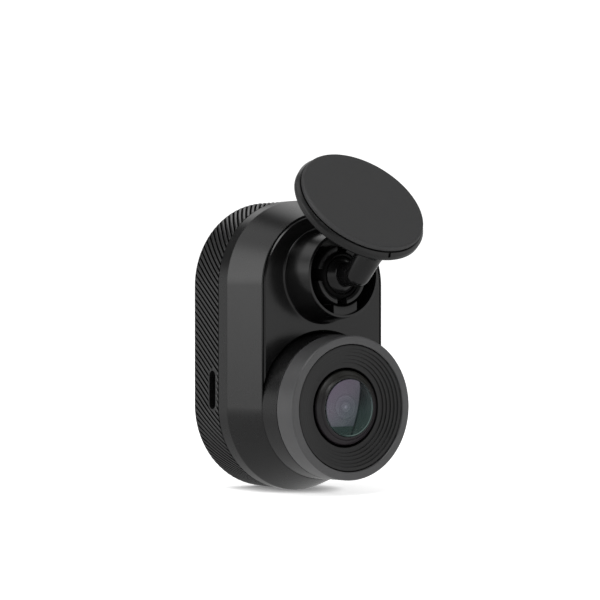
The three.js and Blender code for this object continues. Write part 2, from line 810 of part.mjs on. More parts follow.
const usbBack = -9.1;
const usbFace = -BODY_R + WALL + GAP;
let usb = slabYZ(slotShape(USB_Y, USB_Z, 2.6, 7.5), usbFace, usbBack, 5)
  .subtract(slabYZ(slotShape(USB_Y, USB_Z, 2.0, 6.9), usbFace - 1, usbBack - 0.6, 5))
  .add(box(usbFace + 0.8, usbBack - 0.3, USB_Y - 0.35, USB_Y + 0.25, USB_Z - 1.9, USB_Z + 1.9));
add("usb_socket", usb, "metal");

const cardSocket = box(-0.8, 14.0, CARD_Y - 0.95, BOARD_FRONT_Y - GAP, CARD_Z - 7.1, CARD_Z + 7.1)
  .subtract(box(0, 15, CARD_Y - 0.6, CARD_Y + 0.6, CARD_Z - 5.75, CARD_Z + 5.75));
add("card_socket", cardSocket, "metal");

const card = new THREE.Shape();
card.moveTo(0.2, CARD_Z - 5.5);
card.lineTo(15.2, CARD_Z - 5.5);
card.lineTo(15.2, CARD_Z + 5.5);
card.lineTo(8.0, CARD_Z + 5.5);
card.lineTo(6.6, CARD_Z + 4.2);
card.lineTo(0.2, CARD_Z + 4.2);
add("memory_card", slabXZ(card, CARD_Y - 0.35, CARD_Y + 0.35), "chip");

const can = box(-7.0, 7.0, -5.9, BOARD_FRONT_Y - GAP, 35.6, 47.0).subtract(
  box(-6.75, 6.75, -5.65, -3, 35.85, 46.75),
);
add("shield_can", can, "metal");
add("processor", box(-6.2, 1.8, -5.1, BOARD_FRONT_Y - GAP, 37.2, 45.2), "chip");
add("memory_chip", box(2.5, 6.3, -5.0, BOARD_FRONT_Y - GAP, 38.0, 44.5), "chip");

add(
  "backup_cell",
  slabXZ(roundedRect(-8.0, 8.0, 31.0, 46.0, 1.5), -14.2, -9.6, 3),
  "cell",
);
add("foam_pad", box(-6.0, 6.0, -9.45, -6.05, 36.4, 45.0), "foam");

add(
  "speaker",
  turned(
    [
      [0, -1.5],
      [2.0, -1.3],
      [3.6, -0.5],
      [4.1, -0.15],
      [5.0, -0.15],
      [5.0, BOARD_BACK_Y + GAP],
      [0, BOARD_BACK_Y + GAP],
    ],
    { n: 18, z: SPEAKER_Z },
  ),
  "inner",
);
add("microphone", box(-1.9, 1.9, BOARD_BACK_Y + GAP, -1.6, MIC_Z - 1.5, MIC_Z + 1.5), "metal");
for (const [side, x] of [
  ["left", -LED_X],
  ["right", LED_X],
]) {
  add("led_" + side, box(x - 0.8, x + 0.8, BOARD_BACK_Y + GAP, -1.95, LED_Z - 0.4, LED_Z + 0.4), "clear");
  add(
    "light_pipe_" + side,
    turned(
      [
        [0, REAR_Y - 0.05],
        [0.8, REAR_Y - 0.05],
        [0.8, REAR_Y - 1.4 - GAP],
        [1.35, REAR_Y - 1.4 - GAP],
        [1.35, -0.1],
        [0.8, -0.1],
        [0.8, -1.8],
        [0, -1.8],
      ],
      { n: 12, x, z: LED_Z },
    ),
    "clear",
  );
}
add("wifi_antenna", box(-5.0, 5.0, -13.6, -10.2, 48.3, 48.6), "gold");

// Round action button on the rear face, with its tactile switch on the board.
add(
  "action_button",
  turned(
    [
      [0, REAR_Y - 0.45],
      [3.5, REAR_Y - 0.35],
      [BUTTON_R - 0.5, REAR_Y - 0.15],
      [BUTTON_R, REAR_Y - 0.45],
      [BUTTON_R, REAR_Y - 1.4 - GAP],
      [BUTTON_R + 0.8, REAR_Y - 1.4 - GAP],
      [BUTTON_R + 0.8, -0.15],
      [1.2, -0.15],
      [1.2, -0.75],
      [0, -0.75],
    ],
    { n: 24, z: BUTTON_Z },
  ),
  "panel",
);
add(
  "button_switch",
  box(-2.6, 2.6, BOARD_BACK_Y + GAP, -1.9, BUTTON_Z - 2.6, BUTTON_Z + 2.6).add(
    rodY(1.0, -2.2, -1.4, 0, BUTTON_Z, 12),
  ),
  "metal",
);

const dashCamera = new THREE.Group();
dashCamera.add(camera);
export default dashCamera;
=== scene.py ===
import json
import math

import bmesh
import bpy
import numpy as np
from mathutils import Matrix, Vector


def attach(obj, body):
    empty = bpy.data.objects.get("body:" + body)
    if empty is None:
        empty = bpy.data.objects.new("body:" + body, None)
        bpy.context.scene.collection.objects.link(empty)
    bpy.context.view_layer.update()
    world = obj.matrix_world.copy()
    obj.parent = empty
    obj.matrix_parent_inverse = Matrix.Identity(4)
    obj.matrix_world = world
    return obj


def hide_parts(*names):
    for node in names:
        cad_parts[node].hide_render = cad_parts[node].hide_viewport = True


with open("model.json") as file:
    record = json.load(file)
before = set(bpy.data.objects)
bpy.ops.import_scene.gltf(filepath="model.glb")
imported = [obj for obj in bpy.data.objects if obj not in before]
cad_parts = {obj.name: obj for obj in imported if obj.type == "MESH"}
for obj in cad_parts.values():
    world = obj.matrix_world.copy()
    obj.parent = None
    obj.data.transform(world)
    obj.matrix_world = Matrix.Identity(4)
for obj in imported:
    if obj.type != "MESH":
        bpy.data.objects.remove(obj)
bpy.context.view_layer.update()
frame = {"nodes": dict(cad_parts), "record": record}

# ---------------------------------------------------------------- the part's own dimensions, in mm
BODY_R, BODY_H = 15.65, 53.0
LOW_Z = BODY_R
STRAIGHT = BODY_H - 2 * BODY_R
HIGH_Z = LOW_Z + STRAIGHT
SOCKET_Z, BALL_Y = 39.2, -21.5
PAD = np.array([0.0, -30.45, 52.35])  # the adhesive face's centre, which is the row's origin
DISC_TILT = math.radians(43)
N_DISC = np.array([0.0, -math.cos(DISC_TILT), math.sin(DISC_TILT)])
DOWN = np.array([0.0, -math.sin(DISC_TILT), -math.cos(DISC_TILT)])
ELBOW = np.array([0.0, -28.5, 39.4])
POST_OFF = float((ELBOW - PAD) @ DOWN)
ELBOW_DEPTH = -float((ELBOW - PAD) @ N_DISC)
FLOOR_Z = -0.05235
scene = bpy.context.scene


def row(p):
    """Points in the design frame, in mm, as points in the row frame, in metres."""
    return (np.asarray(p, float) - PAD) / 1000.0


# ---------------------------------------------------------------- mesh making
def make(name, verts, faces, angle=32, weighted=True):
    mesh = bpy.data.meshes.new(name)
    mesh.from_pydata([tuple(v) for v in verts], [], faces)
    bm = bmesh.new()
    bm.from_mesh(mesh)
    bmesh.ops.remove_doubles(bm, verts=bm.verts, dist=2e-7)
    bmesh.ops.recalc_face_normals(bm, faces=bm.faces)
    bm.to_mesh(mesh)
    bm.free()
    obj = bpy.data.objects.new(name, mesh)
    scene.collection.objects.link(obj)
    smooth(obj, angle, weighted)
    return obj


def smooth(obj, angle=32, weighted=True):
    mesh = obj.data
    mesh.shade_smooth()
    mesh.set_sharp_from_angle(angle=math.radians(angle))
    for m in [m for m in obj.modifiers if m.type == "WEIGHTED_NORMAL"]:
        obj.modifiers.remove(m)
    if weighted:
        m = obj.modifiers.new("normals", "WEIGHTED_NORMAL")
        m.keep_sharp = True
        m.weight = 80


def quads(nu, nv, close_u=True, close_v=False):
    out = []
    for i in range(nu if close_u else nu - 1):
        a = i * nv
        b = ((i + 1) % nu) * nv
        for j in range(nv if close_v else nv - 1):
            k = (j + 1) % nv
            out.append((a + j, b + j, b + k, a + k))
    return out


def bend(points, steps=5):
    """A profile whose corners are rounded: each point is (r, y) or (r, y, radius)."""
    pts = [(p[0], p[1], p[2] if len(p) > 2 else 0.0) for p in points]
    out = []
    n = len(pts)
    for i, (r, y, rad) in enumerate(pts):
        if rad <= 0 or i in (0, n - 1):
            out.append((r, y))
            continue
        p = np.array([r, y])
        a = np.array(pts[i - 1][:2]) - p
        b = np.array(pts[i + 1][:2]) - p
        la, lb = np.linalg.norm(a), np.linalg.norm(b)
        a, b = a / la, b / lb
        half = math.acos(max(-1, min(1, float(a @ b)))) / 2
        cut = min(rad / math.tan(half), 0.49 * la, 0.49 * lb)
        rr = cut * math.tan(half)
        c = p + (a + b) / np.linalg.norm(a + b) * (rr / math.sin(half))
        s, e = p + a * cut - c, p + b * cut - c
        t0 = math.atan2(s[1], s[0])
        dt = (math.atan2(e[1], e[0]) - t0 + math.pi) % (2 * math.pi) - math.pi
        for k in range(steps + 1):
            t = t0 + dt * k / steps
            out.append((c[0] + rr * math.cos(t), c[1] + rr * math.sin(t)))
    return out


def bend_loop(points, steps=5):
    """As bend, for a profile that closes on itself."""
    pts = list(points)
    made = bend([pts[-1], *pts, pts[0]], steps)
    return made[1:-1]


def revolve(name, profile, n=128, x=0.0, z=0.0, loop=False, angle=32, to_row=True, weighted=True):
    p = np.array(profile, float)
    phi = np.arange(n) * 2 * math.pi / n
    r, y = p[:, 0], p[:, 1]
    P = np.empty((n, len(p), 3))
    P[..., 0] = x + np.sin(phi)[:, None] * r[None]
    P[..., 1] = y[None]
    P[..., 2] = z + np.cos(phi)[:, None] * r[None]
    P = P.reshape(-1, 3)
    return make(name, row(P) if to_row else P, quads(n, len(p), True, loop), angle, weighted)


def pill_columns(n_arc=96, n_straight=2):
    """(normal x, normal z, centre z) of columns round the pill outline, anticlockwise seen from the front."""
    cols = []
    for i in range(n_arc + 1):
        t = math.radians(90 - 180 * i / n_arc)
        cols.append((math.sin(t), math.cos(t), HIGH_Z))
    for i in range(1, n_straight):
        cols.append((-1.0, 0.0, HIGH_Z - STRAIGHT * i / n_straight))
    for i in range(n_arc + 1):
        t = math.radians(-90 - 180 * i / n_arc)
        cols.append((math.sin(t), math.cos(t), LOW_Z))
    for i in range(1, n_straight):
        cols.append((1.0, 0.0, LOW_Z + STRAIGHT * i / n_straight))
    return np.array(cols)


def pill(name, profile, n_arc=96, loop=True, angle=32):
    p = np.array(profile, float)
    c = pill_columns(n_arc)
    P = np.empty((len(c), len(p), 3))
    P[..., 0] = c[:, 0, None] * p[None, :, 0]
    P[..., 1] = p[None, :, 1]
    P[..., 2] = c[:, 2, None] + c[:, 1, None] * p[None, :, 0]
    return make(name, row(P.reshape(-1, 3)), quads(len(c), len(p), True, loop), angle)


def plate(name, outline, y0, y1, axis="y", to_row=True, angle=32):
    """A closed outline, in X and Z (or in Y and Z with axis "x"), given its thickness."""
    n = len(outline)
    verts = []
    for d in (y0, y1):
        for a, b in outline:
            verts.append((a, d, b) if axis == "y" else (d, a, b))
    faces = [tuple(range(n)), tuple(range(2 * n - 1, n - 1, -1))]
    faces += [(i, (i + 1) % n, n + (i + 1) % n, n + i) for i in range(n)]
    return make(name, row(verts) if to_row else np.array(verts), faces, angle)


def stadium(cu, cv, width, length, n=16):
    """A slot outline, its length along the second axis."""
    r, h = width / 2, length / 2 - width / 2
    out = [(cu + r * math.cos(t), cv + h + r * math.sin(t)) for t in np.linspace(0, math.pi, n)]
    out += [(cu + r * math.cos(t), cv - h + r * math.sin(t)) for t in np.linspace(math.pi, 2 * math.pi, n)]
    return out


def rounded_rect(x0, x1, z0, z1, r, n=6):
    out = []
    for cx, cz, a in ((x1 - r, z0 + r, -90), (x1 - r, z1 - r, 0), (x0 + r, z1 - r, 90), (x0 + r, z0 + r, 180)):
        for k in range(n + 1):
            t = math.radians(a + 90 * k / n)
            out.append((cx + r * math.cos(t), cz + r * math.sin(t)))
    return out


def cut(obj, tools, angle=32, weighted=True, solver="EXACT"):
    """Joins and cuts in turn, then keeps the result as the object's own mesh."""
    for m in list(obj.modifiers):
        obj.modifiers.remove(m)
    for how, tool in tools:
        for m in list(tool.modifiers):
            tool.modifiers.remove(m)
        m = obj.modifiers.new("b", "BOOLEAN")
        m.operation = how
        m.solver = solver
        m.object = tool
    bpy.context.view_layer.update()
    got = bpy.data.meshes.new_from_object(obj.evaluated_get(bpy.context.evaluated_depsgraph_get()))
    old = obj.data
    for m in list(obj.modifiers):
        obj.modifiers.remove(m)
    obj.data = got
    got.name = obj.name
    bpy.data.meshes.remove(old)
    for _, tool in tools:
        data = tool.data
        bpy.data.objects.remove(tool)
        bpy.data.meshes.remove(data)
    smooth(obj, angle, weighted)
    return obj


def keep_flat(obj):
    """Shades the flat rear face as flat right up to its rounded edge."""
    bm = bmesh.new()
    bm.from_mesh(obj.data)
    for e in bm.edges:
        if len(e.link_faces) == 2 and (e.link_faces[0].normal.y > 0.9999) != (e.link_faces[1].normal.y > 0.9999):
            e.smooth = False
    bm.to_mesh(obj.data)
    bm.free()


DISC_TURN = Matrix.Rotation(math.radians(180) - DISC_TILT, 4, "X")


def in_disc(obj):
    """Moves a mesh made in the disc's own frame, in mm, to the row frame."""
    obj.data.transform(DISC_TURN @ Matrix.Scale(0.001, 4))
    obj.data.update()
    return obj


# ---------------------------------------------------------------- materials
def new_material(name):
    m = bpy.data.materials.new(name)
    m.use_nodes = True
    nt = m.node_tree
    b = nt.nodes["Principled BSDF"]
    return m, nt, b


def coords(nt):
    return nt.nodes.new("ShaderNodeTexCoord").outputs["Object"]


def noise(nt, scale, detail=3.0, rough=0.5, vector=None):
    t = nt.nodes.new("ShaderNodeTexNoise")
    t.inputs["Scale"].default_value = scale
    t.inputs["Detail"].default_value = detail
    t.inputs["Roughness"].default_value = rough
    nt.links.new(vector if vector is not None else coords(nt), t.inputs["Vector"])
    return t.outputs["Fac"]


def remap(nt, value, lo, hi, a=0.3, b=0.7):
    r = nt.nodes.new("ShaderNodeMapRange")
    r.inputs["From Min"].default_value = a
    r.inputs["From Max"].default_value = b
    r.inputs["To Min"].default_value = lo
    r.inputs["To Max"].default_value = hi
    nt.links.new(value, r.inputs["Value"])
    return r.outputs["Result"]


def ramp(nt, value, stops, interpolation="LINEAR"):
    r = nt.nodes.new("ShaderNodeValToRGB")
    r.color_ramp.interpolation = interpolation
    e = r.color_ramp.elements
    e.remove(e[1])
    e[0].position = stops[0][0]
    e[0].color = (*stops[0][1], 1.0)
    for pos, col in stops[1:]:
        e.new(pos).color = (*col, 1.0)
    nt.links.new(value, r.inputs["Fac"])
    return r.outputs["Color"]


def bump(nt, height, distance, strength=1.0, after=None):
    b = nt.nodes.new("ShaderNodeBump")
    b.inputs["Strength"].default_value = strength
    b.inputs["Distance"].default_value = distance
    nt.links.new(height, b.inputs["Height"])
    if after is not None:
        nt.links.new(after, b.inputs["Normal"])
    return b.outputs["Normal"]


def plastic(name, dark, light, rough=(0.38, 0.46), grain=5200.0, depth=4e-6, ior=1.5, mottle=160.0):
    """Moulded plastic: fine spark-eroded grain, a slow change of tone and gloss."""
    m, nt, b = new_material(name)
    slow = noise(nt, mottle, 4.0)
    fine = noise(nt, grain, 2.0, 0.6)
    nt.links.new(ramp(nt, slow, [(0.3, dark), (0.7, light)]), b.inputs["Base Color"])
    nt.links.new(remap(nt, slow, rough[0], rough[1]), b.inputs["Roughness"])
    b.inputs["IOR"].default_value = ior
    nt.links.new(bump(nt, fine, depth), b.inputs["Normal"])
    return m


def metal(name, dark, light, rough=(0.25, 0.4), line=(1.0, 1.0, 1.0), depth=3e-6):
    """Sheet or turned metal with faint drawn lines."""
    m, nt, b = new_material(name)
    b.inputs["Metallic"].default_value = 1.0
    map_ = nt.nodes.new("ShaderNodeMapping")
    map_.inputs["Scale"].default_value = line
    nt.links.new(coords(nt), map_.inputs["Vector"])
    lines = noise(nt, 1500.0, 3.0, 0.6, map_.outputs["Vector"])
    nt.links.new(ramp(nt, lines, [(0.3, dark), (0.7, light)]), b.inputs["Base Color"])
    nt.links.new(remap(nt, lines, rough[0], rough[1]), b.inputs["Roughness"])
    nt.links.new(bump(nt, lines, depth), b.inputs["Normal"])
    return m


def g(v):
    return (v, v, v * 1.02)


M = {}
M["housing"] = plastic("housing_plastic", g(0.0040), g(0.0055), (0.24, 0.29), depth=1e-6)
M["cover"] = plastic("cover_plastic", g(0.0025), g(0.0038), (0.30, 0.38), depth=2e-6, ior=1.42)
M["panel"] = plastic("panel_plastic", g(0.0030), g(0.0042), (0.17, 0.22), depth=1e-6)
M["lens_ring"] = plastic("ring_plastic", g(0.056), g(0.067), (0.32, 0.40), grain=6500.0, depth=5e-6)
M["baffle"] = plastic("baffle_plastic", g(0.0065), g(0.0085), (0.40, 0.48))
M["lens_black"] = plastic("lens_black", g(0.0015), g(0.0025), (0.50, 0.60), depth=3e-6, ior=1.3)
M["ball_arm"] = plastic("arm_plastic", g(0.0030), g(0.0042), (0.15, 0.20), depth=8e-7)
M["socket_plastic"] = plastic("finger_plastic", g(0.0050), g(0.0070), (0.30, 0.38), depth=3e-6)
M["liner"] = plastic("liner_plastic", g(0.0015), g(0.0020), (0.5, 0.6), ior=1.3)
M["mount_disc"] = plastic("disc_plastic", g(0.0045), g(0.0060), (0.25, 0.31), depth=2e-6)
M["button"] = plastic("button_plastic", g(0.0075), g(0.0095), (0.34, 0.40), depth=3e-6)
M["card"] = plastic("card_plastic", g(0.0060), g(0.0080), (0.45, 0.55), depth=3e-6)
M["chip"] = plastic("chip_epoxy", g(0.0100), g(0.0160), (0.5, 0.62), mottle=900.0)
M["speaker"] = plastic("speaker_paper", g(0.0120), g(0.0200), (0.7, 0.85), grain=3000.0, depth=2e-5)
M["tongue"] = plastic("tongue_plastic", g(0.0400), g(0.0520), (0.4, 0.5))
M["sensor"] = plastic("sensor_window", (0.010, 0.012, 0.018), (0.016, 0.018, 0.026), (0.08, 0.12), depth=5e-7)
M["led"] = plastic("led_resin", (0.62, 0.62, 0.52), (0.72, 0.72, 0.62), (0.15, 0.22), depth=1e-6)
M["steel_screw"] = metal("screw_steel", (0.42, 0.42, 0.43), (0.55, 0.55, 0.56))
M["tinned_steel"] = metal("tinned_steel", (0.52, 0.52, 0.50), (0.66, 0.66, 0.63), line=(1, 1, 6))
M["retainer_plate"] = metal("plate_steel", (0.40, 0.40, 0.41), (0.52, 0.52, 0.53), line=(1, 1, 8))
M["antenna"] = metal("gilded_plate", (0.55, 0.42, 0.18), (0.72, 0.58, 0.28))


def pad_material():
    """Closed-cell adhesive foam under a matt film: a fine pebbled skin."""
    m, nt, b = new_material("adhesive_face")
    slow = noise(nt, 120.0, 5.0)
    fine = noise(nt, 3600.0, 3.0, 0.65)
    nt.links.new(ramp(nt, slow, [(0.3, g(0.0265)), (0.7, g(0.0305))]), b.inputs["Base Color"])
    nt.links.new(remap(nt, slow, 0.55, 0.64), b.inputs["Roughness"])
    nt.links.new(bump(nt, fine, 6e-6), b.inputs["Normal"])
    return m


def foam_material():
    m, nt, b = new_material("foam")
    v = nt.nodes.new("ShaderNodeTexVoronoi")
    v.inputs["Scale"].default_value = 2600.0
    nt.links.new(coords(nt), v.inputs["Vector"])
    nt.links.new(ramp(nt, v.outputs["Distance"], [(0.1, g(0.010)), (0.7, g(0.040))]), b.inputs["Base Color"])
    b.inputs["Roughness"].default_value = 0.95
    nt.links.new(bump(nt, v.outputs["Distance"], 6e-5), b.inputs["Normal"])
    return m


def board_material():
    """Green solder mask with copper tracks showing through as lighter lines."""
    m, nt, b = new_material("circuit_board")
    v = nt.nodes.new("ShaderNodeTexVoronoi")
    v.feature = "DISTANCE_TO_EDGE"
    v.distance = "CHEBYCHEV" if hasattr(v, "distance") and v.feature != "DISTANCE_TO_EDGE" else v.distance
    v.inputs["Scale"].default_value = 700.0
    nt.links.new(coords(nt), v.inputs["Vector"])
    nt.links.new(
        ramp(nt, v.outputs["Distance"], [(0.02, (0.035, 0.16, 0.075)), (0.06, (0.014, 0.075, 0.034))]),
        b.inputs["Base Color"],
    )
    b.inputs["Roughness"].default_value = 0.32
    nt.links.new(bump(nt, v.outputs["Distance"], 1e-5), b.inputs["Normal"])
    return m


def flex_material():
    m, nt, b = new_material("flexible_circuit")
    w = nt.nodes.new("ShaderNodeTexWave")
    w.bands_direction = "X"
    w.inputs["Scale"].default_value = 900.0
    nt.links.new(coords(nt), w.inputs["Vector"])
    nt.links.new(
        ramp(nt, w.outputs["Fac"], [(0.35, (0.23, 0.11, 0.02)), (0.65, (0.36, 0.19, 0.045))]), b.inputs["Base Color"]
    )
    b.inputs["Roughness"].default_value = 0.35
    return m


def cell_material():
    m, nt, b = new_material("cell_sleeve")
    slow = noise(nt, 260.0, 4.0)
    nt.links.new(ramp(nt, slow, [(0.3, (0.085, 0.11, 0.145)), (0.7, (0.115, 0.145, 0.19))]), b.inputs["Base Color"])
    nt.links.new(remap(nt, slow, 0.22, 0.34), b.inputs["Roughness"])
    nt.links.new(bump(nt, noise(nt, 500.0, 2.0), 2e-5), b.inputs["Normal"])
    return m


def clear_material(name, tint, rough):
    m, nt, b = new_material(name)
    slow = noise(nt, 300.0, 2.0)
    nt.links.new(ramp(nt, slow, [(0.3, tint), (0.7, tuple(min(1, c * 1.05) for c in tint))]), b.inputs["Base Color"])
    b.inputs["Transmission Weight"].default_value = 1.0
    nt.links.new(remap(nt, slow, rough, rough * 1.3), b.inputs["Roughness"])
    b.inputs["IOR"].default_value = 1.49
    return m




def painted_groove_shade_cover_material():
    """The housing's plastic on the ribs' crests, with painted shade down in the grooves: near black and dull there."""
    m, nt, b = new_material("ribbed_plastic")
    a = nt.nodes.new("ShaderNodeAttribute")
    a.attribute_name = "groove"
    slow = noise(nt, 160.0, 4.0)
    crest = ramp(nt, slow, [(0.3, g(0.0035)), (0.7, g(0.0050))])
    # painted shade: the base colour goes near black down in the grooves
    mix = nt.nodes.new("ShaderNodeMix")
    mix.data_type = "RGBA"
    nt.links.new(a.outputs["Fac"], mix.inputs[0])
    nt.links.new(crest, mix.inputs[6])
    nt.links.new(ramp(nt, slow, [(0.3, g(0.0008)), (0.7, g(0.0012))]), mix.inputs[7])
    nt.links.new(mix.outputs[2], b.inputs["Base Color"])
    nt.links.new(remap(nt, slow, 0.28, 0.34), b.inputs["Roughness"])
    # painted shade: the specular fades to nothing down in the grooves
    nt.links.new(remap(nt, a.outputs["Fac"], 0.62, 0.0, 0.05, 0.55), b.inputs["Specular IOR Level"])
    nt.links.new(bump(nt, noise(nt, 5200.0, 2.0, 0.6), 1e-6), b.inputs["Normal"])
    return m


M["cover"] = painted_groove_shade_cover_material()
M["adhesive_pad"] = pad_material()
M["foam"] = foam_material()
M["board"] = board_material()
M["flex"] = flex_material()
M["cell"] = cell_material()
M["light_pipe"] = clear_material("light_pipe_plastic", (0.82, 0.84, 0.85), 0.22)
M["filter_glass"] = clear_material("filter_glass", (0.55, 0.80, 0.78), 0.02)


def math_node(nt, op, a, bb=None):
    n = nt.nodes.new("ShaderNodeMath")
    n.operation = op
    for i, v in enumerate((a, bb)):
        if v is None:
            continue
        if isinstance(v, (int, float)):
            n.inputs[i].default_value = v
        else:
            nt.links.new(v, n.inputs[i])
    return n.outputs[0]


def sstep(nt, v, e0, e1):
    r = nt.nodes.new("ShaderNodeMapRange")
    r.interpolation_type = "SMOOTHSTEP"
    r.inputs["From Min"].default_value = e0
    r.inputs["From Max"].default_value = e1
    nt.links.new(v, r.inputs["Value"])
    return r.outputs["Result"]


def mix_rgb(nt, fac, a, bb, how="MIX"):
    n = nt.nodes.new("ShaderNodeMix")
    n.data_type = "RGBA"
    n.blend_type = how
    if isinstance(fac, (int, float)):
        n.inputs[0].default_value = fac
    else:
        nt.links.new(fac, n.inputs[0])
    nt.links.new(a, n.inputs[6])
    nt.links.new(bb, n.inputs[7])
    return n.outputs[2]


def front_glass_painted_reflection_material():
    """Domed glass with a painted reflection: its emission paints a dull violet window, with blue-green round it."""
    m, nt, b = new_material("front_glass")
    sep = nt.nodes.new("ShaderNodeSeparateXYZ")
    nt.links.new(coords(nt), sep.inputs[0])
    X = math_node(nt, "MULTIPLY", sep.outputs["X"], 1000.0)
    Y = math_node(nt, "ADD", math_node(nt, "MULTIPLY", sep.outputs["Y"], 1000.0), PAD[1])
    Z = math_node(nt, "ADD", math_node(nt, "MULTIPLY", sep.outputs["Z"], 1000.0), PAD[2] - LOW_Z)

    def radius(cx, cz):
        dx = math_node(nt, "SUBTRACT", X, cx)
        dz = math_node(nt, "SUBTRACT", Z, cz)
        return math_node(nt, "SQRT", math_node(nt, "ADD", math_node(nt, "MULTIPLY", dx, dx), math_node(nt, "MULTIPLY", dz, dz)))

    # the painted window reflection: straight at its foot, its right edge leaning in as it goes down
    low = math_node(nt, "MINIMUM", math_node(nt, "SUBTRACT", Z, 3.6), 0.0)
    lean = math_node(nt, "ADD", math_node(nt, "MULTIPLY", low, 0.165), math_node(nt, "MULTIPLY", math_node(nt, "MULTIPLY", low, low), -0.010))
    right = math_node(nt, "ADD", lean, 2.16)
    to_right = math_node(nt, "SUBTRACT", right, X)
    painted_window = math_node(nt, "MULTIPLY", sstep(nt, to_right, -0.05, 0.10), sstep(nt, math_node(nt, "ADD", Z, 3.22), -0.06, 0.10))
    rim = radius(0.0, 0.0)
    painted_window = math_node(nt, "MULTIPLY", painted_window, sstep(nt, math_node(nt, "SUBTRACT", 5.12, rim), -0.04, 0.16))
    slope = math_node(nt, "ADD", math_node(nt, "MULTIPLY", X, -0.055), math_node(nt, "MULTIPLY", Z, 0.055))
    violet = ramp(nt, remap(nt, slope, 0.0, 1.0, -0.32, 0.42), [
        (0.0, (0.036, 0.050, 0.056)), (0.38, (0.068, 0.074, 0.086)), (0.66, (0.104, 0.094, 0.118)), (1.0, (0.120, 0.098, 0.134)),
    ])
    teal = ramp(nt, remap(nt, math_node(nt, "SUBTRACT", math_node(nt, "MULTIPLY", X, 0.35), Z), 0.0, 1.0, -4.4, 5.2), [
        (0.0, (0.0045, 0.0045, 0.0060)), (0.35, (0.0100, 0.0130, 0.0140)), (0.62, (0.020, 0.032, 0.031)), (1.0, (0.023, 0.038, 0.034)),
    ])
    # painted rings of light round a bright spot, inside the painted window
    rc = radius(-1.23, 0.22)
    one = lambda v: (v, v, v)
    painted_rings = ramp(nt, remap(nt, rc, 0.0, 1.0, 0.0, 2.6), [
        (0.0, (2.3, 2.4, 2.4)), (0.07, (1.75, 1.85, 1.85)), (0.15, (1.16, 1.22, 1.22)), (0.34, (1.12, 1.17, 1.16)), (0.39, (0.80, 0.85, 0.87)),
        (0.46, (0.92, 0.96, 0.97)), (0.60, (1.02, 1.05, 1.05)), (0.76, (1.14, 1.17, 1.16)), (0.81, (0.80, 0.82, 0.83)), (0.92, one(1.0)), (1.0, one(1.0)),
    ])
    # a thin painted dark line outside the window's right edge, and a thin painted light crescent at the glass's right
    # rim
    near = math_node(nt, "SUBTRACT", 1.0, sstep(nt, math_node(nt, "ABSOLUTE", math_node(nt, "ADD", to_right, 0.22)), 0.02, 0.34))
    painted_dark_line = math_node(nt, "MULTIPLY", near, 0.72)
    painted_crescent = math_node(nt, "MULTIPLY", math_node(nt, "SUBTRACT", 1.0, sstep(nt, math_node(nt, "ABSOLUTE", math_node(nt, "SUBTRACT", rim, 4.93)), 0.02, 0.16)),
                         sstep(nt, math_node(nt, "SUBTRACT", X, math_node(nt, "MULTIPLY", Z, 0.9)), 2.2, 5.4))
    black = ramp(nt, X, [(0.0, (0.002, 0.003, 0.004)), (1.0, (0.003, 0.004, 0.005))])
    light = ramp(nt, Z, [(0.0, (0.10, 0.14, 0.13)), (1.0, (0.085, 0.10, 0.10))])
    col = mix_rgb(nt, painted_dark_line, teal, black)
    col = mix_rgb(nt, painted_window, col, mix_rgb(nt, 1.0, violet, painted_rings, "MULTIPLY"))
    col = mix_rgb(nt, painted_crescent, col, light)
    front = sstep(nt, math_node(nt, "SUBTRACT", -26.12, Y), -0.02, 0.02)
    dark_rim = math_node(nt, "MULTIPLY", front, sstep(nt, math_node(nt, "SUBTRACT", 5.19, rim), 0.0, 0.10))
    # the painted reflection is emitted, on the dome's front face inside its rim
    nt.links.new(col, b.inputs["Emission Color"])
    nt.links.new(math_node(nt, "MULTIPLY", dark_rim, 0.92), b.inputs["Emission Strength"])
    slow = noise(nt, 200.0, 2.0)
    nt.links.new(ramp(nt, slow, [(0.3, (0.50, 0.58, 0.58)), (0.7, (0.54, 0.62, 0.62))]), b.inputs["Base Color"])
    b.inputs["Transmission Weight"].default_value = 1.0
    b.inputs["Roughness"].default_value = 0.0
    b.inputs["IOR"].default_value = 1.18
    return m


def coated_glass_material():
    """The second glass under the dome, dark with a faint blue-green coating."""
    m, nt, b = new_material("coated_glass")
    slow = noise(nt, 180.0, 3.0)
    nt.links.new(ramp(nt, slow, [(0.3, (0.004, 0.008, 0.0075)), (0.7, (0.005, 0.010, 0.0095))]), b.inputs["Base Color"])
    nt.links.new(remap(nt, slow, 0.10, 0.16), b.inputs["Roughness"])
    b.inputs["IOR"].default_value = 1.3
    return m


M["coated"] = coated_glass_material()
M["front_glass"] = front_glass_painted_reflection_material()
M["lens_glass"] = clear_material("inner_glass", (0.80, 0.90, 0.88), 0.01)



def ring_black():
    """Black anodised ring: a warm olive tone on its upper half, a purple one on its lower half."""
    m, nt, b = new_material("anodised_ring")
    sep = nt.nodes.new("ShaderNodeSeparateXYZ")
    nt.links.new(coords(nt), sep.inputs[0])
    Z = math_node(nt, "ADD", math_node(nt, "MULTIPLY", sep.outputs["Z"], 1000.0), PAD[2] - LOW_Z)
    tone = ramp(nt, remap(nt, Z, 0.0, 1.0, -6.2, 6.2), [
        (0.0, (0.0125, 0.0095, 0.0120)), (0.5, (0.0105, 0.0092, 0.0108)), (1.0, (0.0130, 0.0132, 0.0105)),
    ])
    fine = noise(nt, 4200.0, 3.0)
    nt.links.new(tone, b.inputs["Base Color"])
    nt.links.new(remap(nt, fine, 0.30, 0.42), b.inputs["Roughness"])
    nt.links.new(bump(nt, fine, 2e-6), b.inputs["Normal"])
    return m


M["ring_black"] = ring_black()

for r_ in frame["record"]["subparts"]:
    o = frame["nodes"][r_["node"]]
    o.data.materials.clear()
    o.data.materials.append(M[r_["material_slot"]])
    for p_ in o.data.polygons:
        p_.material_index = 0


def finish_piece(obj, node, body, slot, material, *more_nodes):
    obj.data.materials.clear()
    obj.data.materials.append(material)
    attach(obj, body)
    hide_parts(node, *more_nodes)
    return obj


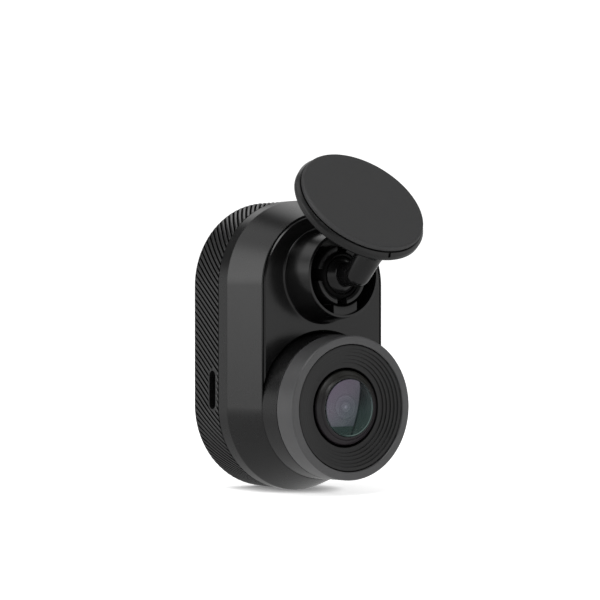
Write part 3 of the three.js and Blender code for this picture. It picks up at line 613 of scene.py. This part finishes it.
# ---------------------------------------------------------------- rear cover, with its ribs
RIBS = 124
PER_RIB = 10
SLANT = math.tan(math.radians(38.5))
RIB_DEPTH = 0.28
USB = (-5.4, 18.5, 2.05, 7.0)
CARD = (-4.9, 27.0, 1.5, 12.4)
PERIMETER = 2 * math.pi * BODY_R + 2 * STRAIGHT


def outline_at(s):
    """Normal and centre of the outline at distance s along it, anticlockwise seen from the front from the top."""
    s = np.mod(s, PERIMETER)
    quarter = math.pi * BODY_R / 2
    nx, nz, cz = np.empty_like(s), np.empty_like(s), np.empty_like(s)
    a = s < quarter
    t = s / BODY_R
    nx[a], nz[a], cz[a] = -np.sin(t[a]), np.cos(t[a]), HIGH_Z
    b_ = (s >= quarter) & (s < quarter + STRAIGHT)
    nx[b_], nz[b_], cz[b_] = -1, 0, HIGH_Z - (s[b_] - quarter)
    c = (s >= quarter + STRAIGHT) & (s < 3 * quarter + STRAIGHT)
    t = math.pi / 2 + (s - quarter - STRAIGHT) / BODY_R
    nx[c], nz[c], cz[c] = -np.sin(t[c]), np.cos(t[c]), LOW_Z
    d = (s >= 3 * quarter + STRAIGHT) & (s < 3 * quarter + 2 * STRAIGHT)
    nx[d], nz[d], cz[d] = 1, 0, LOW_Z + (s[d] - 3 * quarter - STRAIGHT)
    e = s >= 3 * quarter + 2 * STRAIGHT
    t = 1.5 * math.pi + (s - 3 * quarter - 2 * STRAIGHT) / BODY_R
    nx[e], nz[e], cz[e] = -np.sin(t[e]), np.cos(t[e]), HIGH_Z
    return nx, nz, cz


def ribbed_cover():
    n = RIBS * PER_RIB
    step = PERIMETER / n
    shape = {0: 1.0, 1: 0.74, 2: 0.34, 3: 0.10, 4: 0.02, 5: 0.0, 6: 0.02, 7: 0.10, 8: 0.34, 9: 0.74}
    groove = np.array([shape[i % PER_RIB] for i in range(n)])
    s0 = np.arange(n) * step
    rear, fil, wall = 2.13, 2.1, 1.35
    y_even = 0.03 + 3 * step / SLANT  # past here the columns no longer slide, so both sides match
    ys = [-7.3, -7.22] + list(np.linspace(-7.0, 0.03, 26))
    prof = [(BODY_R - (0.06 if y < -7.29 else 0.0), y, min(1.0, 0.42 + max(0.0, 0.03 - y) * 0.45)) for y in ys]
    for k in range(1, 9):
        t = math.radians(90 * k / 8)
        prof.append((BODY_R - fil + fil * math.cos(t), rear - fil + fil * math.sin(t), max(0.0, 0.42 * (1 - k / 3.2))))
    rows_ = []
    for r, y, amp in prof:
        nx, nz, cz = outline_at(s0 + SLANT * (0.03 - min(y, y_even)))
        pz = cz + nz * BODY_R
        a = np.full(n, amp)
        # a plain border round the power slot and the card slot
        for side, (cy, cz0, w, l) in ((-1, USB), (1, CARD)):
            h = l / 2 - w / 2
            dz = np.maximum(np.abs(pz - cz0) - h, 0)
            dist = np.hypot(y - cy, dz) - w / 2
            f = np.clip((dist - 0.30) / 0.22, 0, 1)
            a = np.where(nx * side > 0.9, a * f, a)
        rr = r - RIB_DEPTH * groove * a
        rows_.append(np.stack([nx * rr, np.full(n, y), cz + nz * rr], 1))
    for r, y in [(BODY_R - wall - 1.0, rear - 1.4), (BODY_R - wall, -0.3), (BODY_R - wall, -7.3)]:
        nx, nz, cz = outline_at(s0 - 3 * step)
        rows_.append(np.stack([nx * r, np.full(n, y), cz + nz * r], 1))
    P = np.stack(rows_, 1)
    # the flat rear face and the floor inside it are one face each
    nv, last = P.shape[1], len(prof) - 1
    faces = [f for f in quads(n, nv, True, True) if f[0] % nv != last]
    faces += [tuple(i * nv + last for i in range(n)), tuple(i * nv + last + 1 for i in range(n - 1, -1, -1))]
    return make("rear_cover_shell", row(P.reshape(-1, 3)), faces, 60, False)


def paint_groove_shade_mask(obj):
    """Stores a painted shade mask: how deep in a groove each point of the cover's side is, from 0 on a rib's crest to
    1.
    """
    n = RIBS * PER_RIB
    step = PERIMETER / n
    quarter = math.pi * BODY_R / 2
    co = np.empty(len(obj.data.vertices) * 3)
    obj.data.vertices.foreach_get("co", co)
    x, y, z = (co.reshape(-1, 3) * 1000 + PAD).T
    upper, lower = z > HIGH_Z, z < LOW_Z
    d = np.where(upper, z - HIGH_Z, np.where(lower, z - LOW_Z, 0.0))
    r = np.hypot(x, d)
    turn = np.mod(np.arctan2(-x, d), 2 * math.pi)
    s = np.where(upper, np.where(turn < math.pi, turn * BODY_R, PERIMETER - (2 * math.pi - turn) * BODY_R), 0.0)
    s = np.where(lower, quarter + STRAIGHT + (turn - math.pi / 2) * BODY_R, s)
    middle = ~upper & ~lower
    s = np.where(middle & (x < 0), quarter + HIGH_Z - z, s)
    s = np.where(middle & (x >= 0), 3 * quarter + STRAIGHT + z - LOW_Z, s)
    phase = np.mod((s - SLANT * (0.03 - np.minimum(y, 0.03 + 3 * step / SLANT))) / step, PER_RIB)
    off = np.minimum(phase, PER_RIB - phase) / (PER_RIB / 2)
    depth = np.clip(1.0 - off * 1.5, 0, 1)
    depth *= np.clip(1.0 - (y - 0.9) / 0.5, 0, 1) * (r > BODY_R - 2.0)
    for side, (cy, cz0, w, l) in ((-1, USB), (1, CARD)):
        dz = np.maximum(np.abs(z - cz0) - (l / 2 - w / 2), 0)
        f = np.clip((np.hypot(y - cy, dz) - w / 2 - 0.30) / 0.22, 0, 1)
        depth = np.where(x * side > 0, depth * f, depth)
    edge = np.clip((y - 0.15) / 0.35, 0, 1) * np.clip((2.1 - y) / 0.4, 0, 1) * (r > BODY_R - 2.0)
    depth = np.maximum(depth, 0.42 * edge)  # painted shade: the rounded rear edge is darker and duller than the ribs' crests
    # the painted shade mask, which darkens the grooves and the rear edge in the cover's material
    a = obj.data.attributes.new("groove", "FLOAT", "POINT")
    a.data.foreach_set("value", depth.astype(np.float32))


POSTS = [(-9.5, 44.0), (9.5, 44.0), (0.0, 5.0)]


def rod(name, r, y0, y1, x, z, n=48):
    return revolve(name, [(0, y0), (r, y0), (r, y1), (0, y1)], n, x, z)


def block(name, x0, x1, y0, y1, z0, z1, bevel=0.0, to_row=True):
    v = [(x, y, z) for x in (x0, x1) for y in (y0, y1) for z in (z0, z1)]
    f = [(0, 1, 3, 2), (4, 6, 7, 5), (0, 4, 5, 1), (2, 3, 7, 6), (0, 2, 6, 4), (1, 5, 7, 3)]
    o = make(name, row(v) if to_row else np.array(v), f)
    if bevel:
        bm = bmesh.new()
        bm.from_mesh(o.data)
        bmesh.ops.bevel(bm, geom=list(bm.edges), offset=bevel / 1000 if to_row else bevel, segments=3, profile=0.5, affect="EDGES")
        bm.to_mesh(o.data)
        bm.free()
    return o


rear = ribbed_cover()
tools = []
for i, (x, z) in enumerate(POSTS):
    tools.append(("UNION", rod("t", 1.7, -2.75, 0.9, x, z)))
    tools.append(("DIFFERENCE", rod("t", 0.6, -4.0, -0.1, x, z)))
tools += [
    ("DIFFERENCE", revolve("t", [(0, 0), (6.4, 0), (6.4, 2.05), (6.5, 2.15), (6.5, 3.0), (0, 3.0)], 128, 0, 31.0)),
    ("DIFFERENCE", rod("t", 0.95, 0, 3.1, -2.2, 41.5)),
    ("DIFFERENCE", rod("t", 0.95, 0, 3.1, 2.2, 41.5)),
    ("DIFFERENCE", rod("t", 0.5, 0, 3.1, 0, 45.6)),
    ("DIFFERENCE", plate("t", stadium(-5.4, 18.5, 2.05, 7.0, 24), -BODY_R - 1, -BODY_R + 2.5, "x")),
    ("DIFFERENCE", plate("t", stadium(-4.9, 27.0, 1.5, 12.4, 20), BODY_R - 2.5, BODY_R + 1, "x")),
]
for z in (11.3, 13.0, 14.7):
    out = [(2.5 + 0.4 * math.sin(t), z - 0.4 * math.cos(t)) for t in np.linspace(0, math.pi, 14)]
    out += [(-2.5 - 0.4 * math.sin(t), z + 0.4 * math.cos(t)) for t in np.linspace(0, math.pi, 14)]
    tools.append(("DIFFERENCE", plate("t", out, 0, 3.1)))
cut(rear, tools, 60, False, "MANIFOLD")
keep_flat(rear)
paint_groove_shade_mask(rear)
finish_piece(rear, "rear_cover", "camera", "cover", M["cover"])

# ---------------------------------------------------------------- front housing
housing = pill(
    "front_housing_shell",
    bend_loop([
        (BODY_R, -7.5, 0.10), (BODY_R, -10.3, 0.9), (13.2, -17.95, 0.14), (12.95, -17.95, 0.05), (12.95, -17.0),
        (11.7, -17.0), (11.7, -16.2), (14.1, -9.6), (13.3, -8.3), (13.3, -6.75), (14.1, -6.75), (14.1, -7.5),
    ], 6),
    128,
)
barrel = revolve(
    "t",
    bend_loop([
        (13.14, -15.2), (13.14, -18.15), (12.95, -22.15, 0.10), (11.9, -22.15), (11.9, -18.6), (9.8, -18.6),
        (9.8, -17.4), (11.9, -17.4), (11.9, -15.2),
    ], 4),
    256, 0, LOW_Z, loop=True,
)
tools = [("UNION", barrel)]
for a in (90, 210, 330):
    tools.append(("DIFFERENCE", rod("t", 0.6, -19.6, -16.4, 10.7 * math.cos(math.radians(a)), LOW_Z + 10.7 * math.sin(math.radians(a)))))
cut(housing, tools, 32, True, "MANIFOLD")
finish_piece(housing, "front_housing", "camera", "housing", M["housing"])

# ---------------------------------------------------------------- front panel with the socket's boss
panel = pill(
    "front_panel_shell",
    bend([(0, -17.15), (12.8, -17.15), (12.8, -17.90, 0.10), (12.55, -18.15, 0.12), (0, -18.15)], 4),
    128, loop=False,
)
boss = revolve(
    "t",
    bend([
        (0, -17.5), (9.3, -17.5), (9.3, -18.152), (8.58, -18.152, 0.35), (7.64, -24.28, 0.06), (7.57, -24.38, 0.05),
        (0, -24.38),
    ], 6),
    256, 0, SOCKET_Z,
)
bore = revolve(
    "t",
    bend([
        (0, -25.4), (7.20, -25.4), (7.20, -24.40), (7.13, -24.28), (7.13, -19.2), (5.55, -19.2), (5.55, -18.2),
        (7.0, -18.2), (7.0, -16.15), (0, -16.15),
    ], 3),
    256, 0, SOCKET_Z,
)
arc = revolve(
    "t",
    bend([(0, -16.15), (13.31, -16.15), (13.31, -17.75, 0.10), (13.71, -18.15, 0.12), (14.3, -18.15), (14.3, -18.75), (0, -18.75)], 4),
    256, 0, LOW_Z,
)
key = revolve("t", bend_loop([(5.6, -23.78, 0.12), (7.2, -23.78), (7.2, -19.0), (5.6, -19.0)], 3), 256, 0, SOCKET_Z, loop=True)
cut(key, [("INTERSECT", block("t", -1.75, 3.3, -24.6, -18.0, SOCKET_Z - 9, SOCKET_Z - 3, 0.1))])
tools = [
    ("UNION", boss), ("DIFFERENCE", bore), ("DIFFERENCE", arc),
    ("UNION", key),
]
for x in (-9.6, 9.6):
    tools.append(("UNION", rod("t", 1.3, -17.5, -16.1, x, SOCKET_Z)))
    tools.append(("DIFFERENCE", rod("t", 0.6, -17.8, -15.0, x, SOCKET_Z)))
cut(panel, tools, 32, True, "MANIFOLD")
finish_piece(panel, "front_panel", "camera", "panel", M["panel"])

# ---------------------------------------------------------------- lens unit
ring = revolve(
    "lens_ring_body",
    bend_loop([
        (12.95, -22.3, 0.06), (12.84, -26.62, 0.14), (12.64, -26.87, 0.12), (11.46, -26.87, 0.06), (11.34, -26.75, 0.04),
        (11.34, -24.0), (10.5, -24.0), (10.5, -19.6), (11.7, -19.6), (11.7, -22.3),
    ], 5),
    256, 0, LOW_Z, loop=True,
)
finish_piece(ring, "lens_ring", "camera", "lens_ring", M["lens_ring"])

STEPS = [11.15, 10.5, 9.93, 9.32, 8.66, 8.07, 7.1]
prof = []
for i in range(6):
    y = -26.55 + i * 0.3
    prof += [(STEPS[i], y, 0.05), (STEPS[i + 1], y, 0.05)]
prof[-1] = (7.1, -25.05, 0.08)
prof += [(7.1, -24.2), (11.15, -24.2)]
baffle = revolve("lens_baffle_cone", bend_loop(prof, 3), 256, 0, LOW_Z, loop=True)
finish_piece(baffle, "lens_baffle", "camera", "baffle", M["baffle"])

retainer = revolve(
    "lens_retainer_ring",
    bend_loop([
        (6.45, -24.78), (6.68, -24.98, 0.06), (6.55, -25.28, 0.12), (5.88, -25.74, 0.10), (5.80, -25.66, 0.02), (5.72, -25.79, 0.04),
        (5.42, -26.02, 0.06), (5.25, -26.05, 0.03), (5.22, -25.35), (6.0, -25.0),
    ], 5),
    192, 0, LOW_Z, loop=True,
)
finish_piece(retainer, "lens_retainer", "camera", "lens_black", M["ring_black"])

nose = revolve(
    "lens_barrel_tube",
    bend_loop([
        (6.1, -24.9, 0.05), (6.1, -22.3, 0.1), (6.9, -22.1, 0.1), (6.9, -21.2), (6.0, -21.2), (6.0, -13.3), (3.6, -13.3), (3.6, -15.6), (4.1, -15.6),
        (4.1, -19.0), (4.9, -19.0), (4.9, -23.4), (5.75, -23.4), (5.75, -24.9, 0.06),
    ], 3),
    160, 0, LOW_Z, loop=True,
)
finish_piece(nose, "lens_barrel", "camera", "lens_black", M["lens_black"])


def dome(edge, apex, y0, steps=28):
    R = (edge * edge + apex * apex) / (2 * abs(apex))
    out = []
    for i in range(steps + 1):
        x = edge * i / steps
        out.append((x, y0 - math.copysign(1, apex) * (math.sqrt(R * R - x * x) - math.sqrt(R * R - edge * edge))))
    return out


def glass(name, node, profile, material, slot):
    o = revolve(name, profile, 160, 0, LOW_Z, angle=40, weighted=False)
    return finish_piece(o, node, "camera", slot, material)


glass(
    "front_glass", "front_lens",
    [*dome(5.2, 0.55, -26.15), (5.2, -25.3), (5.55, -25.2), (5.55, -23.6), (4.6, -23.6), *dome(4.2, 1.1, -23.75)[::-1]],
    M["front_glass"], "lens_glass",
)
glass(
    "second_glass", "lens_element_2",
    [*dome(4.7, 0.5, -22.9), (4.7, -21.9), *dome(4.1, 0.6, -21.9)[::-1]],
    M["coated"], "lens_glass",
)
glass("third_glass", "lens_element_3", [*dome(4.7, 0.55, -20.3), (4.7, -19.75), *dome(4.7, -0.5, -19.75)[::-1]], M["lens_glass"], "lens_glass")
glass("fourth_glass", "lens_element_4", [*dome(3.9, 0.3, -18.1), (3.9, -16.9), *dome(3.9, -0.5, -16.9)[::-1]], M["lens_glass"], "lens_glass")

# ---------------------------------------------------------------- ball socket
B_IN, TIP = 4.68, -23.9
t0 = math.acos((-17.25 - BALL_Y) / B_IN)
t1 = math.acos((-23.6 - BALL_Y) / B_IN)
prof = [(B_IN * math.sin(t), BALL_Y + B_IN * math.cos(t)) for t in np.linspace(t0, t1, 28)]
prof += bend([prof[-1], (4.62, TIP, 0.06), (5.15, TIP, 0.08), (5.25, TIP + 0.14, 0.06), (5.25, -18.05), (6.8, -18.05), (6.8, -17.25)], 3)[1:]
fingers = revolve("socket_fingers", prof, 192, 0, SOCKET_Z, loop=True)
cut(fingers, [
    ("DIFFERENCE", block("t", -1.05, 1.05, -25, -19.6, SOCKET_Z - 6.3, SOCKET_Z + 6.3)),
    ("DIFFERENCE", block("t", -6.3, 6.3, -25, -19.6, SOCKET_Z - 1.05, SOCKET_Z + 1.05)),
])
finish_piece(fingers, "socket_collet", "collet", "socket_plastic", M["socket_plastic"])

angles = np.radians(np.linspace(30, 124, 40))
prof = [(4.15 * math.sin(t), BALL_Y + 4.15 * math.cos(t)) for t in angles]
prof += [(4.5 * math.sin(t), BALL_Y + 4.5 * math.cos(t)) for t in angles[::-1]]
liner = revolve("socket_cup", prof, 160, 0, SOCKET_Z, loop=True)
finish_piece(liner, "socket_liner", "liner", "liner", M["liner"])


def ball_mesh(name, centre, r, n=64):
    prof = [(r * math.sin(t), centre[1] - r * math.cos(t)) for t in np.linspace(0, math.pi, n // 2 + 1)]
    return revolve(name, prof, n, centre[0], centre[2])


arm = ball_mesh("ball_and_post", (0, BALL_Y, SOCKET_Z), 4.0, 96)
d = ELBOW - np.array([0, BALL_Y, SOCKET_Z])
neck = revolve("t", [(0, 0), (2.1, 0), (2.1, float(np.linalg.norm(d))), (0, float(np.linalg.norm(d)))], 64, to_row=False)
neck.data.transform(
    Matrix.Translation(Vector(row([0, BALL_Y, SOCKET_Z]))) @ Vector((0, 1, 0)).rotation_difference(Vector(d)).to_matrix().to_4x4() @ Matrix.Scale(0.001, 4)
)
post = in_disc(revolve("t", bend([
    (0, -2.95), (3.35, -2.95), (2.8, -3.45, 0.6), (2.5, -4.35, 0.8), (2.35, -5.55, 1.5), (2.35, -ELBOW_DEPTH), (0, -ELBOW_DEPTH),
], 6), 96, 0, POST_OFF, to_row=False))
cut(arm, [("UNION", neck), ("UNION", ball_mesh("t", ELBOW, 2.35, 64)), ("UNION", post)])
for m_ in list(arm.modifiers):
    arm.modifiers.remove(m_)
rm = arm.modifiers.new("r", "REMESH")
rm.mode = "VOXEL"
rm.voxel_size = 0.00014
sm = arm.modifiers.new("s", "SMOOTH")
sm.factor = 0.5
sm.iterations = 10
bpy.context.view_layer.update()
got = bpy.data.meshes.new_from_object(arm.evaluated_get(bpy.context.evaluated_depsgraph_get()))
for m_ in list(arm.modifiers):
    arm.modifiers.remove(m_)
arm.data = got
smooth(arm, 50, False)
finish_piece(arm, "ball_arm", "mount", "ball_arm", M["ball_arm"])

# ---------------------------------------------------------------- windscreen disc
disc = revolve("mount_disc_plate", bend([
    (0, -1.05), (12.0, -1.05, 0.06), (12.4, -1.55, 0.10), (12.4, -2.4, 0.12), (12.1, -2.8, 0.10), (0, -2.8),
], 4), 256, to_row=False)
cut(disc, [
    ("DIFFERENCE", revolve("t", [(0, -3.8), (1.0, -3.8), (1.0, 0), (0, 0)], 48, 0, POST_OFF, to_row=False)),
    ("DIFFERENCE", revolve("t", [(0, -1.9), (2.3, -1.9), (2.3, 0), (0, 0)], 64, 0, POST_OFF, to_row=False)),
    ("DIFFERENCE", block("t", -0.25, 0.25, -1.8, 0, 11.85, 13.4, to_row=False)),
])
in_disc(disc)
finish_piece(disc, "mount_disc", "mount", "mount_disc", M["mount_disc"])

pad = in_disc(revolve("adhesive_face", bend([
    (0, 0), (11.42, 0, 0.3), (11.69, -0.12, 0.3), (11.77, -0.42, 0.3), (11.77, -0.9, 0.05), (0, -0.9),
], 5), 256, to_row=False))
finish_piece(pad, "adhesive_pad", "mount", "adhesive_pad", M["adhesive_pad"])

# ---------------------------------------------------------------- rear button, light pipes, power socket
R_Y = 2.13
button = revolve("round_button", bend([
    (0, R_Y - 0.45), (3.5, R_Y - 0.35, 8.0), (5.7, R_Y - 0.15, 0.35), (6.2, R_Y - 0.45, 0.12), (6.2, R_Y - 1.55), (7.0, R_Y - 1.55),
    (7.0, -0.15), (1.2, -0.15), (1.2, -0.75), (0, -0.75),
], 6), 160, 0, 31.0)
finish_piece(button, "action_button", "button", "button", M["button"])
for side, x in (("left", -2.2), ("right", 2.2)):
    pipe = revolve("light_pipe_rod_" + side, bend([
        (0, R_Y - 0.05), (0.8, R_Y - 0.05, 0.12), (0.8, R_Y - 1.55), (1.35, R_Y - 1.55), (1.35, -0.1), (0.8, -0.1), (0.8, -1.8), (0, -1.8),
    ], 4), 48, x, 41.5)
    finish_piece(pipe, "light_pipe_" + side, "camera", "light_pipe", M["light_pipe"])

socket = plate("power_socket", stadium(-5.4, 18.5, 2.6, 7.5, 24), -14.15, -9.1, "x")
cut(socket, [("DIFFERENCE", plate("t", stadium(-5.4, 18.5, 2.0, 6.9, 24), -15.15, -9.7, "x"))])
n_shell = len(socket.data.polygons)
tongue = block("t", -13.35, -9.4, -5.75, -5.15, 16.6, 20.4, 0.08)
bm = bmesh.new()
bm.from_mesh(socket.data)
bm.from_mesh(tongue.data)
bm.to_mesh(socket.data)
bm.free()
bpy.data.objects.remove(tongue)
smooth(socket)
finish_piece(socket, "usb_socket", "camera", "tinned_steel", M["tinned_steel"])
socket.data.materials.append(M["tongue"])
for p_ in socket.data.polygons:
    p_.material_index = 1 if p_.index >= n_shell else 0

# ---------------------------------------------------------------- floor, light, camera
bpy.ops.mesh.primitive_plane_add(size=30.0, location=(0, 0, FLOOR_Z))
floor = bpy.context.object
floor.name = "studio_floor"
fm, fnt, fb = new_material("floor_paper")
fb.inputs["Base Color"].default_value = (0.93, 0.93, 0.93, 1)
fb.inputs["Roughness"].default_value = 0.9
fb.inputs["Specular IOR Level"].default_value = 0.1
fb.inputs["Emission Color"].default_value = (1, 1, 1, 1)
# painted contact shadow: the floor glows, and ambient occlusion dims the glow close to the camera body
painted_shadow_ao = fnt.nodes.new("ShaderNodeAmbientOcclusion")
painted_shadow_ao.samples = 8
painted_shadow_ao.inputs["Distance"].default_value = 0.0028
fnt.links.new(math_node(fnt, "ADD", math_node(fnt, "MULTIPLY", painted_shadow_ao.outputs["AO"], 0.56), 0.18), fb.inputs["Emission Strength"])
floor.data.materials.append(fm)
floor.visible_glossy = False

# soft lights by direction: the white wall behind, a wide light at the left, a strong one high at the back
# left, one high in front, and a dim one high at the right
LIGHTS = [
    ((0.57, 0.82, 0.0), 11, 17, 0.55),
    ((-0.90, 0.26, 0.35), 9, 29, 2.4),
    ((-0.45, 0.50, 0.74), 8, 24, 1.0),
    ((0.34, 0.68, 0.65), 7, 24, 1.1),
    ((0.62, -0.10, 0.78), 10, 34, 0.62),
    ((0.57, -0.82, 0.0), 25, 60, 0.22),
]
world = bpy.data.worlds.new("studio")
scene.world = world
world.use_nodes = True
wn = world.node_tree
bg = wn.nodes["Background"]
tc = wn.nodes.new("ShaderNodeTexCoord")
sp = wn.nodes.new("ShaderNodeSeparateXYZ")
wn.links.new(tc.outputs["Generated"], sp.inputs[0])


def elevation(stops):
    """A grey level that depends on the height of the direction above the horizon, in degrees."""
    at = [math.sin(math.radians(d)) for d, _ in stops]
    top = max(v for _, v in stops)
    f = remap(wn, sp.outputs["Z"], 0.0, 1.0, at[0], at[-1])
    got = ramp(wn, f, [((a - at[0]) / (at[-1] - at[0]), (v / top,) * 3) for a, (_, v) in zip(at, stops)], "EASE")
    return math_node(wn, "MULTIPLY", got, top)


def lobe(direction, inner, outer, value):
    """A soft-edged patch of light round a direction, full inside one angle and gone past the other."""
    d = wn.nodes.new("ShaderNodeVectorMath")
    d.operation = "DOT_PRODUCT"
    wn.links.new(tc.outputs["Generated"], d.inputs[0])
    d.inputs[1].default_value = Vector(direction).normalized()
    return math_node(wn, "MULTIPLY", sstep(wn, d.outputs["Value"], math.cos(math.radians(outer)), math.cos(math.radians(inner))), value)


level = elevation([(-90, 0.45), (-12, 0.45), (-4, 0.60), (8, 0.60), (16, 0.05), (62, 0.05), (76, 0.5), (90, 0.5)])
for patch in LIGHTS:
    level = math_node(wn, "ADD", level, lobe(*patch))
wn.links.new(level, bg.inputs["Color"])
bg.inputs["Strength"].default_value = 1.0


def softbox(name, at_, to, size, power, spread=180):
    light = bpy.data.lights.new(name, "AREA")
    light.shape = "RECTANGLE"
    light.size, light.size_y = size
    light.energy = power
    light.spread = math.radians(spread)
    o = bpy.data.objects.new(name, light)
    o.location = at_
    o.rotation_euler = (Vector(to) - Vector(at_)).to_track_quat("-Z", "Y").to_euler()
    scene.collection.objects.link(o)
    return o


softbox("front_softbox", (-0.35, -0.50, 0.79), (0, 0, -0.03), (0.5, 0.5), 3.0)

cam = bpy.data.cameras.new("camera")
cam.lens, cam.sensor_width = 121.4, 36.0
cam.clip_start, cam.clip_end = 0.01, 100.0
camera = bpy.data.objects.new("camera", cam)
scene.collection.objects.link(camera)
eye = Vector((-0.211345, -0.28521, -0.017977))
look = Vector((0.56961, 0.82191, 0.00109)).normalized()
side = look.cross(Vector((0, 0, 1))).normalized()
up = side.cross(look)
camera.matrix_world = Matrix((
    (side.x, up.x, -look.x, eye.x), (side.y, up.y, -look.y, eye.y), (side.z, up.z, -look.z, eye.z), (0, 0, 0, 1),
))
scene.camera = camera
scene.view_settings.view_transform = "Standard"
scene.view_settings.look = "None"
